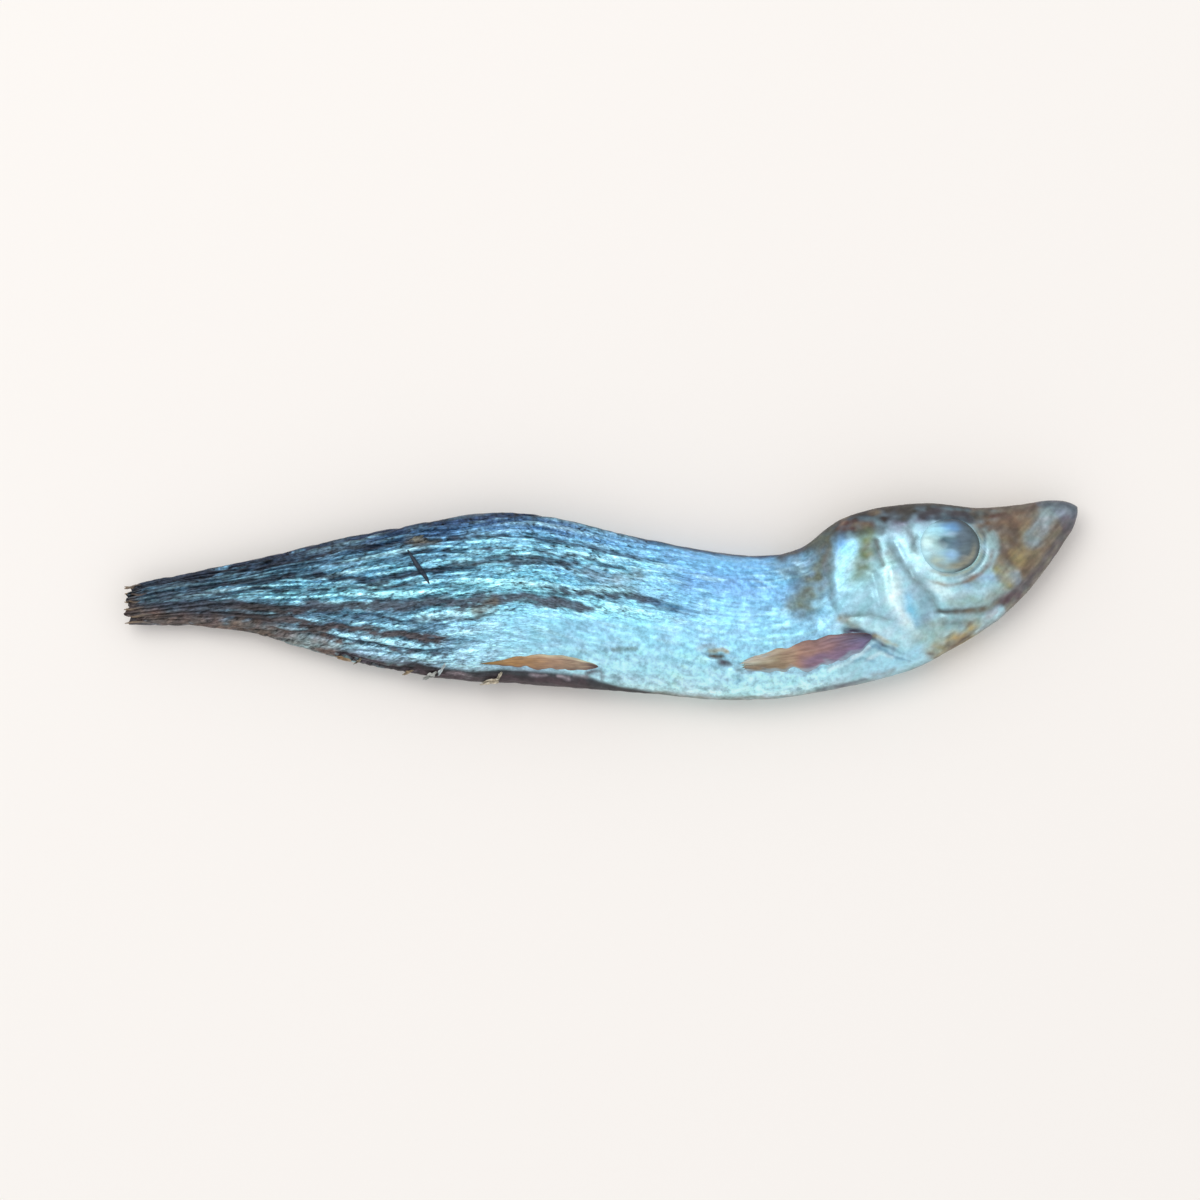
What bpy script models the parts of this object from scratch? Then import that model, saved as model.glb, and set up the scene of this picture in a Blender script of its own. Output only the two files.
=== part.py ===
"""One small smoked fish, dried flat and stiff, lying on its left side with its right side up.

Lengths are in millimetres until the mesh is made, which is in metres with +Z up. X runs from the tail stub to
the snout, Y from the belly to the back, and the origin is under the middle of the fish's box.
"""

import math
from collections import namedtuple

import bmesh
import bpy
import numpy as np
from mathutils import Matrix, Vector
from mathutils.bvhtree import BVHTree

MM = 0.001

# Each section joins a point of the back to a point of the belly, as (x, y) from the middle of the tail's end.
Section = namedtuple("Section", "back belly half_thick")
SECTIONS = (
    Section((0.0, 1.9), (0.0, -2.1), 0.8),  # end of the tail stub
    Section((5.3, 3.0), (4.6, -2.2), 1.2),
    Section((12.3, 4.4), (11.2, -2.6), 1.7),
    Section((26.6, 7.6), (26.2, -6.4), 2.6),  # behind the vent
    Section((33.7, 8.9), (33.7, -7.7), 2.9),
    Section((40.9, 9.5), (41.2, -8.3), 3.2),  # highest part of the back
    Section((55.2, 6.7), (55.7, -9.4), 3.4),
    Section((62.5, 5.4), (63.2, -10.0), 3.4),  # deepest part of the belly
    Section((67.2, 5.1), (69.2, -9.8), 3.35),  # hollow of the nape
    Section((70.6, 5.7), (74.6, -8.9), 3.35),
    Section((75.5, 9.0), (83.0, -6.7), 3.55),  # crown, behind the gill cover
    Section((79.9, 10.2), (87.4, -4.4), 3.55),
    Section((84.7, 10.6), (91.2, -2.0), 3.3),  # across the eye
    Section((89.8, 10.1), (94.4, 0.9), 2.7),
    Section((94.0, 10.4), (96.9, 4.0), 2.0),
    Section((97.4, 10.9), (98.8, 6.8), 1.4),  # upturned snout
    Section((99.2, 10.7), (99.7, 8.6), 0.95),
    Section((100.0, 10.0), (100.0, 9.4), 0.5),
)
MIDDLE_HEIGHT = 3.25  # of the fish's middle plane over what it lies on
TAIL_SAG = 0.8  # how much lower the tail's middle is
TAIL_SAG_END = 40.0

# The section's outline is the sine of its angle to these powers: a full round back and a keeled belly.
BACK_POWER = 0.70
BELLY_POWER = 0.95

HEAD_START = 70.0
BODY_STEPS = 46
HEAD_STEPS = 38
UPPER_STEPS = 30
LOWER_STEPS = 16

# A furrow follows the body at a share of its depth, counted from the back, between two x.
Furrow = namedtuple("Furrow", "share start end depth width")
FURROWS = (
    Furrow(0.14, 5.0, 61.0, 0.34, 0.55),
    Furrow(0.31, 13.0, 50.0, 0.40, 0.60),
    Furrow(0.42, 3.0, 31.0, 0.32, 0.50),
    Furrow(0.54, 5.0, 53.0, 0.50, 0.70),
    Furrow(0.47, 48.0, 61.0, 0.36, 0.60),
    Furrow(0.75, 5.0, 39.0, 0.38, 0.60),
    Furrow(0.86, 17.0, 36.0, 0.26, 0.50),
)
FURROW_FADE = 6.0
FURROW_WAVE = 0.012  # sideways wander, as a share of the body's depth
FURROW_WAVE_LENGTH = 17.0

# The gill cover is a plate whose rear edge is half of a rounded oval.
GILL_CENTRE = (84.5, 3.6)
GILL_REACH = (10.4, 8.5)
GILL_POWER = 2.4
GILL_STEP = 0.45
GILL_EDGE = 0.06  # width of the step, as a share of the oval
GILL_FADE = 9.0  # length over which the plate sinks into the cheek

# A crease is a groove (or a ridge, where its height is positive) along a few plan points.
Crease = namedtuple("Crease", "points height width")
CREASES = (
    Crease(((80.9, 6.8), (82.6, 2.7), (85.2, -0.5)), -0.35, 0.50),  # edge of the cheek
    Crease(((85.2, -0.5), (88.1, -0.5), (91.3, -0.1), (94.4, 1.2)), -0.42, 0.45),  # mouth
    Crease(((80.1, 3.8), (80.7, -0.4), (82.3, -2.6)), 0.28, 0.60),  # ridges of the gill cover
    Crease(((78.4, 3.4), (78.9, -0.6)), 0.20, 0.50),
    Crease(((89.9, 9.2), (92.0, 6.2), (91.6, 3.6)), -0.22, 0.70),  # fold in front of the eye
    Crease(((71.0, 4.4), (72.3, 0.5), (72.6, -3.0)), -0.35, 1.50),  # hollow behind the gill cover
    Crease(((31.0, -6.2), (38.5, -7.1), (52.0, -7.7)), -0.25, 0.45),  # top of the belly's keel
)
RELIEF_FADE_POWER = 0.5  # how the relief dies out towards the back and the belly

EYE_CENTRE = (86.4, 6.3)
EYE_RADIUS = 3.7  # of the whole ball, most of which is in the head
EYE_BULGE = 0.55  # height of the eyeball over the socket's floor
EYE_DOME = 1.5  # half height of the flattened eyeball
EYE_SEGMENTS = 20
EYE_RINGS = 10
SOCKET_RADIUS = 3.45
SOCKET_DEPTH = 0.35
SOCKET_EDGE = 0.5

# A fin is a leaf pressed to the skin, from its root to its tip.
Fin = namedtuple("Fin", "name root tip width thick")
FINS = (
    Fin("pectoral", (77.4, -3.4), (65.8, -6.4), 2.5, 0.60),
    Fin("pelvic", (50.4, -6.6), (38.9, -5.6), 1.7, 0.55),
)
FIN_STEPS = 11
FIN_ACROSS = 9
FIN_LEAF_POWER = 0.7  # of the sine that the leaf's width follows
FIN_END_WIDTH = 0.3  # share of its width that a fin keeps at its ends
FIN_RIM_THICK = 0.25  # share of its thickness at its long edges
FIN_TIP_THICK = 0.6  # share of its thickness at its tip
FIN_RAYS = 3
FIN_RAY_HEIGHT = 0.16
FIN_SINK = 0.35  # how far the leaf's underside lies in the flesh
LOWER_SIDE_RELIEF = 0.7  # the side that the fish lies on is pressed flatter
FAR_OFF = 50.0  # where a ray that looks for the skin starts
LOWEST_DETAIL = 0.06  # of the lower eye and fins, over what the fish lies on

SKIN = ((0.33, 0.50, 0.62, 1.0), 0.55, 0.35)  # colour, metallic, roughness


def smooth_step(low, high, value):
    """0 below low, 1 above high, with a soft ramp between."""
    t = np.clip((value - low) / (high - low), 0.0, 1.0)
    return t * t * (3.0 - 2.0 * t)


def curve_through(knots, values, at):
    """A smooth curve through the values at the knots, read at the given places."""
    slopes = np.gradient(values, knots, axis=0)
    index = np.clip(np.searchsorted(knots, at, side="right") - 1, 0, len(knots) - 2)
    span = (knots[index + 1] - knots[index])[:, None]
    t = ((at - knots[index]) / span[:, 0])[:, None]
    start, end = values[index], values[index + 1]
    return (
        (2 * t**3 - 3 * t**2 + 1) * start
        + (t**3 - 2 * t**2 + t) * slopes[index] * span
        + (3 * t**2 - 2 * t**3) * end
        + (t**3 - t**2) * slopes[index + 1] * span
    )


def sections_along():
    """(back points, belly points, half thickness) at every step from the tail to the snout."""
    rows = np.array([(*s.back, *s.belly, s.half_thick) for s in SECTIONS])
    knots = (rows[:, 0] + rows[:, 2]) / 2
    steps = np.concatenate(
        (
            np.linspace(knots[0], HEAD_START, BODY_STEPS, endpoint=False),
            np.linspace(HEAD_START, knots[-1], HEAD_STEPS),
        )
    )
    found = curve_through(knots, rows, steps)
    return found[:, 0:2], found[:, 2:4], found[:, 4]


def distance_to(points, x, y):
    """Distance in plan from each (x, y) to a line of a few points."""
    nearest = np.full(np.shape(x), np.inf)
    for (ax, ay), (bx, by) in zip(points[:-1], points[1:]):
        dx, dy = bx - ax, by - ay
        t = np.clip(((x - ax) * dx + (y - ay) * dy) / (dx * dx + dy * dy), 0.0, 1.0)
        nearest = np.minimum(nearest, np.hypot(x - ax - t * dx, y - ay - t * dy))
    return nearest


def furrows_at(x, share, depth):
    """The height of the body's lengthwise furrows, where depth is the body's from back to belly."""
    height = np.zeros(np.shape(x))
    for n, furrow in enumerate(FURROWS):
        wander = FURROW_WAVE * np.sin(math.tau * x / FURROW_WAVE_LENGTH + n)
        aside = (share - furrow.share - wander) * depth
        fade = smooth_step(furrow.start, furrow.start + FURROW_FADE, x)
        fade = fade * (1.0 - smooth_step(furrow.end - FURROW_FADE, furrow.end, x))
        height -= fade * furrow.depth * np.exp(-((aside / furrow.width) ** 2))
    return height


def details_at(x, y):
    """The height of the gill cover, the creases and the eye's socket."""
    across = np.abs((x - GILL_CENTRE[0]) / GILL_REACH[0]) ** GILL_POWER
    along = np.abs((y - GILL_CENTRE[1]) / GILL_REACH[1]) ** GILL_POWER
    oval = (across + along) ** (1.0 / GILL_POWER)
    plate = 1.0 - smooth_step(1.0 - GILL_EDGE, 1.0 + GILL_EDGE, oval)
    rear = GILL_CENTRE[0] - GILL_REACH[0]
    height = GILL_STEP * plate * (1.0 - smooth_step(rear, rear + GILL_FADE, x))
    for crease in CREASES:
        aside = distance_to(crease.points, x, y)
        height += crease.height * np.exp(-((aside / crease.width) ** 2))
    off_eye = np.hypot(x - EYE_CENTRE[0], y - EYE_CENTRE[1])
    socket = 1.0 - smooth_step(SOCKET_RADIUS - SOCKET_EDGE, SOCKET_RADIUS, off_eye)
    return height - SOCKET_DEPTH * socket


def side_points(angles, upper):
    """Points of the upper or the lower side, for each step along and each angle from the back to the belly."""
    back, belly, half = (values[:, None] for values in sections_along())
    share = (1.0 - np.cos(angles)) / 2.0
    plan = back + (belly - back) * share[None, :, None]
    x, y = plan[..., 0], plan[..., 1]
    depth = np.hypot(*np.moveaxis(belly - back, -1, 0))
    power = BACK_POWER + (BELLY_POWER - BACK_POWER) * angles / math.pi
    round_off = np.sin(angles).clip(0.0) ** power
    relief = furrows_at(x, share[None, :], depth) + details_at(x, y)
    relief = relief * np.sin(angles).clip(0.0) ** RELIEF_FADE_POWER
    middle = MIDDLE_HEIGHT - TAIL_SAG * (1.0 - smooth_step(0.0, TAIL_SAG_END, x))
    if upper:
        return np.stack((x, y, middle + half * round_off + relief), axis=-1)
    height = middle - half * round_off - relief * LOWER_SIDE_RELIEF
    return np.stack((x, y, np.maximum(height, 0.0)), axis=-1)


def body_mesh():
    """The fish without its eyes and fins: rings of points from the tail to the snout, closed at both ends."""
    upper = side_points(np.linspace(0.0, math.pi, UPPER_STEPS + 1), True)
    lower = side_points(np.linspace(math.pi, 0.0, LOWER_STEPS + 1)[1:-1], False)
    rings = np.concatenate((upper, lower), axis=1)
    mesh = bmesh.new()
    loops = [[mesh.verts.new(point) for point in ring] for ring in rings]
    for near, far in zip(loops[:-1], loops[1:]):
        for n in range(len(near)):
            m = (n + 1) % len(near)
            mesh.faces.new((near[n], near[m], far[m], far[n]))
    for end in (loops[0], loops[-1]):
        rim = [mesh.edges.get(pair) for pair in zip(end, end[1:] + end[:1])]
        bmesh.ops.triangle_fill(mesh, use_beauty=True, edges=rim)
    bmesh.ops.recalc_face_normals(mesh, faces=mesh.faces)
    return mesh


def add_object(name, mesh):
    """An object from a bmesh in millimetres."""
    mesh.transform(Matrix.Diagonal((MM, MM, MM, 1.0)))
    data = bpy.data.meshes.new(name)
    mesh.to_mesh(data)
    mesh.free()
    made = bpy.data.objects.new(name, data)
    bpy.context.scene.collection.objects.link(made)
    return made


def skin_height(tree, x, y, upper):
    """The height of the skin at a plan point, on one side of the fish."""
    side = 1.0 if upper else -1.0
    start = Vector((x, y, side * FAR_OFF))
    found = tree.ray_cast(start, Vector((0.0, 0.0, -side)))[0]
    return found.z if found else MIDDLE_HEIGHT


def add_eye(tree, upper):
    """A flattened eyeball, sunk in its socket."""
    mesh = bmesh.new()
    bmesh.ops.create_uvsphere(mesh, u_segments=EYE_SEGMENTS, v_segments=EYE_RINGS, radius=1.0)
    bmesh.ops.scale(mesh, verts=mesh.verts, vec=(EYE_RADIUS, EYE_RADIUS, EYE_DOME))
    floor = skin_height(tree, *EYE_CENTRE, upper)
    if upper:
        centre = floor + EYE_BULGE - EYE_DOME
    else:
        centre = max(floor - EYE_BULGE, LOWEST_DETAIL) + EYE_DOME
    bmesh.ops.translate(mesh, verts=mesh.verts, vec=(*EYE_CENTRE, centre))
    return add_object("eye", mesh)


def add_fin(tree, fin, upper):
    """A leaf with rays, whose points follow the skin under them."""
    root, tip = Vector(fin.root), Vector(fin.tip)
    along = tip - root
    aside = Vector((-along.y, along.x)).normalized()
    outward = 1.0 if upper else -1.0
    mesh = bmesh.new()
    rows = []
    for n in range(FIN_STEPS):
        t = n / (FIN_STEPS - 1)
        leaf = max(math.sin(math.pi * t), 0.0) ** FIN_LEAF_POWER
        wide = fin.width / 2 * (FIN_END_WIDTH + (1.0 - FIN_END_WIDTH) * leaf)
        thick = fin.thick * (1.0 - (1.0 - FIN_TIP_THICK) * t)
        row = []
        for m in range(FIN_ACROSS):
            off = 2.0 * m / (FIN_ACROSS - 1) - 1.0
            at = root + along * t + aside * wide * off
            ray = FIN_RAY_HEIGHT * math.cos(math.pi * FIN_RAYS * off) * (1.0 - t)
            crown = thick * (1.0 - (1.0 - FIN_RIM_THICK) * off * off)
            skin = skin_height(tree, at.x, at.y, upper)
            top = max(skin + outward * (crown + ray), LOWEST_DETAIL)
            bottom = skin - outward * FIN_SINK
            row.append((mesh.verts.new((*at, top)), mesh.verts.new((*at, bottom))))
        rows.append(row)
    for near, far in zip(rows[:-1], rows[1:]):
        for m in range(FIN_ACROSS - 1):
            for side in (0, 1):
                corners = (near[m][side], near[m + 1][side], far[m + 1][side], far[m][side])
                mesh.faces.new(corners)
        for m in (0, FIN_ACROSS - 1):
            mesh.faces.new((near[m][0], far[m][0], far[m][1], near[m][1]))
    for row in (rows[0], rows[-1]):
        for a, b in zip(row[:-1], row[1:]):
            mesh.faces.new((a[0], b[0], b[1], a[1]))
    bmesh.ops.recalc_face_normals(mesh, faces=mesh.faces)
    return add_object(fin.name, mesh)


def fuse(body, extras):
    """Joins the extra pieces to the body as one closed solid."""
    pieces = bpy.data.collections.new("pieces")
    bpy.context.scene.collection.children.link(pieces)
    for extra in extras:
        pieces.objects.link(extra)
    union = body.modifiers.new("fuse", "BOOLEAN")
    union.operation = "UNION"
    union.operand_type = "COLLECTION"
    union.collection = pieces
    union.solver = "EXACT"
    graph = bpy.context.evaluated_depsgraph_get()
    joined = bpy.data.meshes.new_from_object(body.evaluated_get(graph))
    body.modifiers.clear()
    body.data = joined
    for extra in extras:
        bpy.data.objects.remove(extra)
    bpy.data.collections.remove(pieces)


def centre_on_origin(body):
    """Moves the mesh so that the origin is under the middle of its box, at the height it lies on."""
    corners = np.array([v.co for v in body.data.vertices])
    low, high = corners.min(axis=0), corners.max(axis=0)
    middle = (low + high) / 2
    for vertex in body.data.vertices:
        vertex.co -= Vector((middle[0], middle[1], low[2]))


def skin_material():
    """Dull blue silver."""
    colour, metallic, roughness = SKIN
    material = bpy.data.materials.new("fish_skin")
    material.use_nodes = True
    shader = material.node_tree.nodes["Principled BSDF"]
    shader.inputs["Base Color"].default_value = colour
    shader.inputs["Metallic"].default_value = metallic
    shader.inputs["Roughness"].default_value = roughness
    return material


def main():
    for old in list(bpy.data.objects):
        bpy.data.objects.remove(old)
    mesh = body_mesh()
    tree = BVHTree.FromBMesh(mesh)
    fish = add_object("fish", mesh)
    extras = [add_eye(tree, upper) for upper in (True, False)]
    extras += [add_fin(tree, fin, upper) for fin in FINS for upper in (True, False)]
    fuse(fish, extras)
    centre_on_origin(fish)
    fish.data.materials.clear()
    fish.data.materials.append(skin_material())
    fish.data.shade_smooth()


main()
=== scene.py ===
"""The looks of one small smoked fish, dried flat and stiff, lying on its left side.

Shapes are worked out in millimetres, with X from the tail stub to the snout and Y from the belly to the back,
and are moved onto the frame's solid as their meshes are made.
"""

import itertools
import math
from collections import namedtuple

import bmesh
import bpy
import numpy as np
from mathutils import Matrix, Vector
from mathutils.bvhtree import BVHTree


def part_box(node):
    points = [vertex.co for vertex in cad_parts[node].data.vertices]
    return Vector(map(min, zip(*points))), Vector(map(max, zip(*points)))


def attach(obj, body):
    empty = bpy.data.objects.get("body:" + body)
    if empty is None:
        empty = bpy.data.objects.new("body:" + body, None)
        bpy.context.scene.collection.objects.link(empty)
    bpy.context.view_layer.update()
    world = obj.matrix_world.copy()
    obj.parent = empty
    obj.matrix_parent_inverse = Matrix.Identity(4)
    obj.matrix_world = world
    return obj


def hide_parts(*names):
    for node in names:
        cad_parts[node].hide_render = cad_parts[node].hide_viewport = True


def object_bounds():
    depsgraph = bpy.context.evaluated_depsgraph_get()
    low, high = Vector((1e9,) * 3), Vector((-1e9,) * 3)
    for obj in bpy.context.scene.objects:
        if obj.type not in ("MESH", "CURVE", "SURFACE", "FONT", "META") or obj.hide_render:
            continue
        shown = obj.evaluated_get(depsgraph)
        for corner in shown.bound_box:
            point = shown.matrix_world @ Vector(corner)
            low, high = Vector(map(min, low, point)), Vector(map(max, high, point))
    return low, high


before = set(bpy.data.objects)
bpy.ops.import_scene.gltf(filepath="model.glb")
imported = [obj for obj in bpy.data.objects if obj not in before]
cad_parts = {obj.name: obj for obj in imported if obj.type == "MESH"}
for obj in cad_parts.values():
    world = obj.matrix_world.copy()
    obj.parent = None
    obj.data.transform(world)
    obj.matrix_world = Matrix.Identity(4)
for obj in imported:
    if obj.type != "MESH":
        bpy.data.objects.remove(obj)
cad_low, cad_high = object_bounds()

MM = 0.001
NODE = "fish"
BODY = "root"

# The solid's sections: a point of the back, a point of the belly and half the thickness between them.
SECTIONS = (
    ((0.0, 1.9), (0.0, -2.1), 0.8),  # end of the tail stub
    ((5.3, 3.0), (4.6, -2.2), 1.2),
    ((12.3, 4.4), (11.2, -2.6), 1.7),
    ((26.6, 7.6), (26.2, -6.4), 2.6),
    ((33.7, 8.9), (33.7, -7.7), 2.9),
    ((40.9, 9.5), (41.2, -8.3), 3.2),  # highest part of the back
    ((55.2, 6.7), (55.7, -9.4), 3.4),
    ((62.5, 5.4), (63.2, -10.0), 3.4),  # deepest part of the belly
    ((67.2, 5.1), (69.2, -9.8), 3.35),
    ((70.6, 5.7), (74.6, -8.9), 3.35),
    ((75.5, 9.0), (83.0, -6.7), 3.55),  # crown
    ((79.9, 10.2), (87.4, -4.4), 3.55),
    ((84.7, 10.6), (91.2, -2.0), 3.3),  # across the eye
    ((89.8, 10.1), (94.4, 0.9), 2.7),
    ((94.0, 10.4), (96.9, 4.0), 2.0),
    ((97.4, 10.9), (98.8, 6.8), 1.4),
    ((99.5, 10.5), (99.8, 8.6), 0.90),
    ((100.0, 10.2), (100.0, 9.3), 0.5),  # upturned snout
)
MIDDLE_HEIGHT = 3.25
TAIL_SAG = 0.8
TAIL_SAG_END = 40.0
BACK_POWER = 0.70
BELLY_POWER = 0.95
RELIEF_FADE_POWER = 0.5
LOWER_SIDE_RELIEF = 0.7

HEAD_START = 70.0  # where the rings of the skin draw closer together
HEAD_COLOUR_FADE = (72.0, 75.0)  # where the head's own colours begin
BODY_ROWS = 290
HEAD_ROWS = 170
UPPER_COLUMNS = 136
LOWER_COLUMNS = 64
EVEN_SHARE = 0.6  # how evenly the columns are spread over the flank, from 0 as on a circle to 1

# A furrow's points of (x, share of the depth from the back), depth, width and how brown its floor is.
FURROWS = (
    (((4.0, 0.10), (16.5, 0.12), (26.1, 0.09), (31.0, 0.12), (43.1, 0.13), (60.0, 0.12)), 0.30, 0.32, 0.1),
    (((30.0, 0.19), (38.0, 0.20), (47.0, 0.21), (58.0, 0.23)), 0.20, 0.28, 0.0),
    (((5.0, 0.32), (19.2, 0.29), (26.9, 0.37), (33.2, 0.31), (40.7, 0.27), (51.0, 0.24)), 0.42, 0.50, 0.4),
    (((3.0, 0.45), (14.0, 0.43), (24.0, 0.42), (33.0, 0.42)), 0.26, 0.30, 0.1),
    (((4.0, 0.60), (16.5, 0.66), (23.4, 0.56), (33.2, 0.53), (40.7, 0.50), (52.0, 0.50)), 0.50, 0.66, 0.9),
    (((46.0, 0.43), (49.6, 0.42), (53.7, 0.38), (56.4, 0.41), (61.5, 0.47)), 0.38, 0.45, 0.5),
    (((5.0, 0.80), (20.6, 0.78), (26.1, 0.74), (31.0, 0.76), (36.5, 0.75)), 0.40, 0.58, 0.95),
    (((16.0, 0.88), (24.0, 0.85), (37.0, 0.86)), 0.24, 0.30, 0.5),
    (((22.0, 0.64), (30.0, 0.64), (42.0, 0.61)), 0.20, 0.26, 0.2),
)
FURROW_FADE = 5.0
FURROW_WANDER = 0.35
FURROW_SWELL = 0.45
FURROW_GAIN = 1.35
FURROW_HALF_DEPTH = 5.0  # where the body is this deep, its furrows are half of the full gain

# The gill cover is a plate whose rear edge is half of a rounded oval.
GILL_CENTRE = (84.5, 3.6)
GILL_REACH = (10.4, 8.5)
GILL_POWER = 2.4
GILL_STEP = 0.32
GILL_EDGE = 0.06
GILL_FADE = 9.0

# Lines that are both creased and painted.
GILL_FOLD = ((75.9, -1.3), (78.2, -1.1), (80.0, -1.6))
THROAT_WRINKLE = ((75.6, -6.4), (77.4, -5.6), (78.6, -6.0))
SCAR_TOP = ((36.8, -0.2), (37.9, -0.1), (38.9, 0.5))
SCAR_MIDDLE = ((36.9, -0.8), (38.1, -0.6), (39.1, -0.1))
SCAR_BOTTOM = ((37.1, -1.4), (38.4, -1.1), (39.2, -0.6))

# A crease's plan points, height and width. It is a groove, or a ridge where its height is positive.
CREASES = (
    (((80.7, 6.6), (82.6, 2.9), (84.4, 1.2), (85.4, -0.8)), -0.26, 0.50),  # edge of the cheek
    (((85.4, -0.9), (88.4, -0.7), (90.8, -0.5), (92.0, 0.2), (94.6, 2.0)), -0.20, 0.40),  # mouth
    (((94.6, 2.0), (96.8, 5.0), (98.8, 8.4)), -0.08, 0.45),
    (((85.7, -2.1), (88.4, -1.8)), -0.14, 0.30),
    (((80.5, 3.4), (80.8, 0.5), (81.3, -1.2), (82.3, -2.3)), 0.34, 0.48),  # ridges of the gill cover
    (((78.5, 3.1), (78.9, 1.5), (79.2, -0.2)), 0.24, 0.42),
    (((78.8, 6.4), (79.3, 4.2)), -0.16, 0.36),
    (GILL_FOLD, -0.20, 0.32),
    (((75.4, -2.7), (77.6, -2.9), (79.0, -3.7), (81.8, -5.2)), -0.28, 0.28),  # fold in front of the fin
    (((89.9, 9.2), (92.0, 6.2), (91.6, 3.6)), -0.20, 0.60),  # fold in front of the eye
    (((93.0, 4.2), (95.2, 6.8), (96.6, 9.4)), -0.07, 0.45),
    (((71.0, 4.4), (72.3, 0.5), (72.6, -3.0)), -0.35, 1.50),  # hollow behind the gill cover
    (((31.0, -6.2), (38.5, -7.1), (52.0, -7.7)), -0.25, 0.40),  # top of the belly's keel
    (((61.4, -5.2), (62.6, -5.5), (63.4, -6.3)), -0.34, 0.40),  # small torn hole
    (SCAR_TOP, -0.12, 0.15),
    (SCAR_MIDDLE, -0.12, 0.15),
    (SCAR_BOTTOM, -0.10, 0.15),
    (((77.6, -5.1), (79.0, -4.6), (80.8, -5.7)), -0.12, 0.16),  # wrinkles of the throat
    (THROAT_WRINKLE, -0.10, 0.16),
)

# The eye's ringed socket, by distance from the eye's centre.
EYE_CENTRE = (86.5, 6.1)
EYE_RADIUS = 3.15
EYE_HEIGHT = 2.85  # from its centre to its upper and lower edge
EYE_DOME = 0.62
SOCKET_RADIUS = 3.20
SOCKET_EDGE = 0.50
SOCKET_DEPTH = 0.12
LID_RADIUS = 3.45
LID_HEIGHT = 0.04
LID_WIDTH = 0.20
OUTER_LID_RADIUS = 4.15
OUTER_LID_GROOVE = 3.80
OUTER_LID_HEIGHT = 0.02
CALM_RADIUS = 3.9  # the skin is smooth inside this
TO_SNOUT = (0.89, -0.45)
TO_JAW = (0.7, -0.7)

# A fin's profile is its width at even steps from its root to its tip, as a share of its greatest width. Its
# middle line bows aside by the bow.
Fin = namedtuple("Fin", "name root tip width bow thick profile")
FINS = (
    Fin("pectoral", (79.0, -3.2), (65.0, -6.3), 3.1, -0.50, 0.24,
        (0.06, 0.56, 0.86, 0.96, 1.0, 0.88, 0.76, 0.60, 0.30)),
    Fin("pelvic", (50.4, -6.6), (37.9, -6.2), 1.55, 0.40, 0.26,
        (0.08, 0.48, 0.87, 0.97, 1.0, 0.90, 0.66, 0.34, 0.05)),
)


def ink(colour):
    """A linear colour from a display colour of 0 to 255."""
    shown = np.array(colour) / 255.0
    return np.where(shown <= 0.04045, shown / 12.92, ((shown + 0.055) / 1.055) ** 2.4)


NAVY = (38, 52, 78)
SLATE = (62, 72, 86)
DEEP_BLUE = (74, 124, 162)
VIOLET = (138, 152, 200)
PEARL = (190, 238, 246)
MOSS = (118, 138, 132)
BROWN = (108, 86, 72)
UMBER = (66, 53, 48)


def smooth_step(low, high, value):
    """0 below low, 1 above high, with a soft ramp between."""
    t = np.clip((value - low) / (high - low), 0.0, 1.0)
    return t * t * (3.0 - 2.0 * t)


def window(low, high, ramp, value):
    """1 between low and high, 0 beyond a ramp outside them."""
    return smooth_step(low - ramp, low, value) * (1.0 - smooth_step(high, high + ramp, value))


def hill(off, width):
    """1 where the offset is 0, falling away over the width."""
    return np.exp(-((off / width) ** 2))


SEED = 11
NOISE_TABLE = 256
NOISE_GAIN = 1.6


def noise(seed, *places):
    """Smooth hills and hollows, about -1 to 1 high and one unit wide, over two or three coordinates."""
    draw = np.random.default_rng(SEED + seed)
    order = draw.permutation(NOISE_TABLE)
    slopes = draw.normal(size=(NOISE_TABLE, len(places)))
    slopes /= np.linalg.norm(slopes, axis=1)[:, None]
    places = np.broadcast_arrays(*places)
    cells = [np.floor(place).astype(int) for place in places]
    inside = [place - cell for place, cell in zip(places, cells)]
    eased = [t * t * t * (t * (t * 6.0 - 15.0) + 10.0) for t in inside]
    total = np.zeros(places[0].shape)
    for corner in itertools.product((0, 1), repeat=len(places)):
        index = np.zeros(places[0].shape, dtype=int)
        weight = np.ones(places[0].shape)
        for cell, step, ease in zip(cells, corner, eased):
            index = order[(index + cell + step) % NOISE_TABLE]
            weight = weight * (ease if step else 1.0 - ease)
        for axis, step in enumerate(corner):
            total += weight * slopes[index, axis] * (inside[axis] - step)
    return total * NOISE_GAIN


def curve_through(knots, values, at):
    """A smooth curve through the values at the knots, read at the given places."""
    slopes = np.gradient(values, knots, axis=0)
    index = np.clip(np.searchsorted(knots, at, side="right") - 1, 0, len(knots) - 2)
    span = (knots[index + 1] - knots[index])[:, None]
    t = ((at - knots[index]) / span[:, 0])[:, None]
    start, end = values[index], values[index + 1]
    return (
        (2 * t**3 - 3 * t**2 + 1) * start
        + (t**3 - 2 * t**2 + t) * slopes[index] * span
        + (3 * t**2 - 2 * t**3) * end
        + (t**3 - t**2) * slopes[index + 1] * span
    )


def distance_to(points, x, y):
    """Distance in plan from each (x, y) to a line of a few points."""
    if len(points) == 1:
        return np.hypot(x - points[0][0], y - points[0][1])
    nearest = np.full(np.shape(x), np.inf)
    for (ax, ay), (bx, by) in zip(points[:-1], points[1:]):
        dx, dy = bx - ax, by - ay
        t = np.clip(((x - ax) * dx + (y - ay) * dy) / (dx * dx + dy * dy), 0.0, 1.0)
        nearest = np.minimum(nearest, np.hypot(x - ax - t * dx, y - ay - t * dy))
    return nearest


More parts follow.
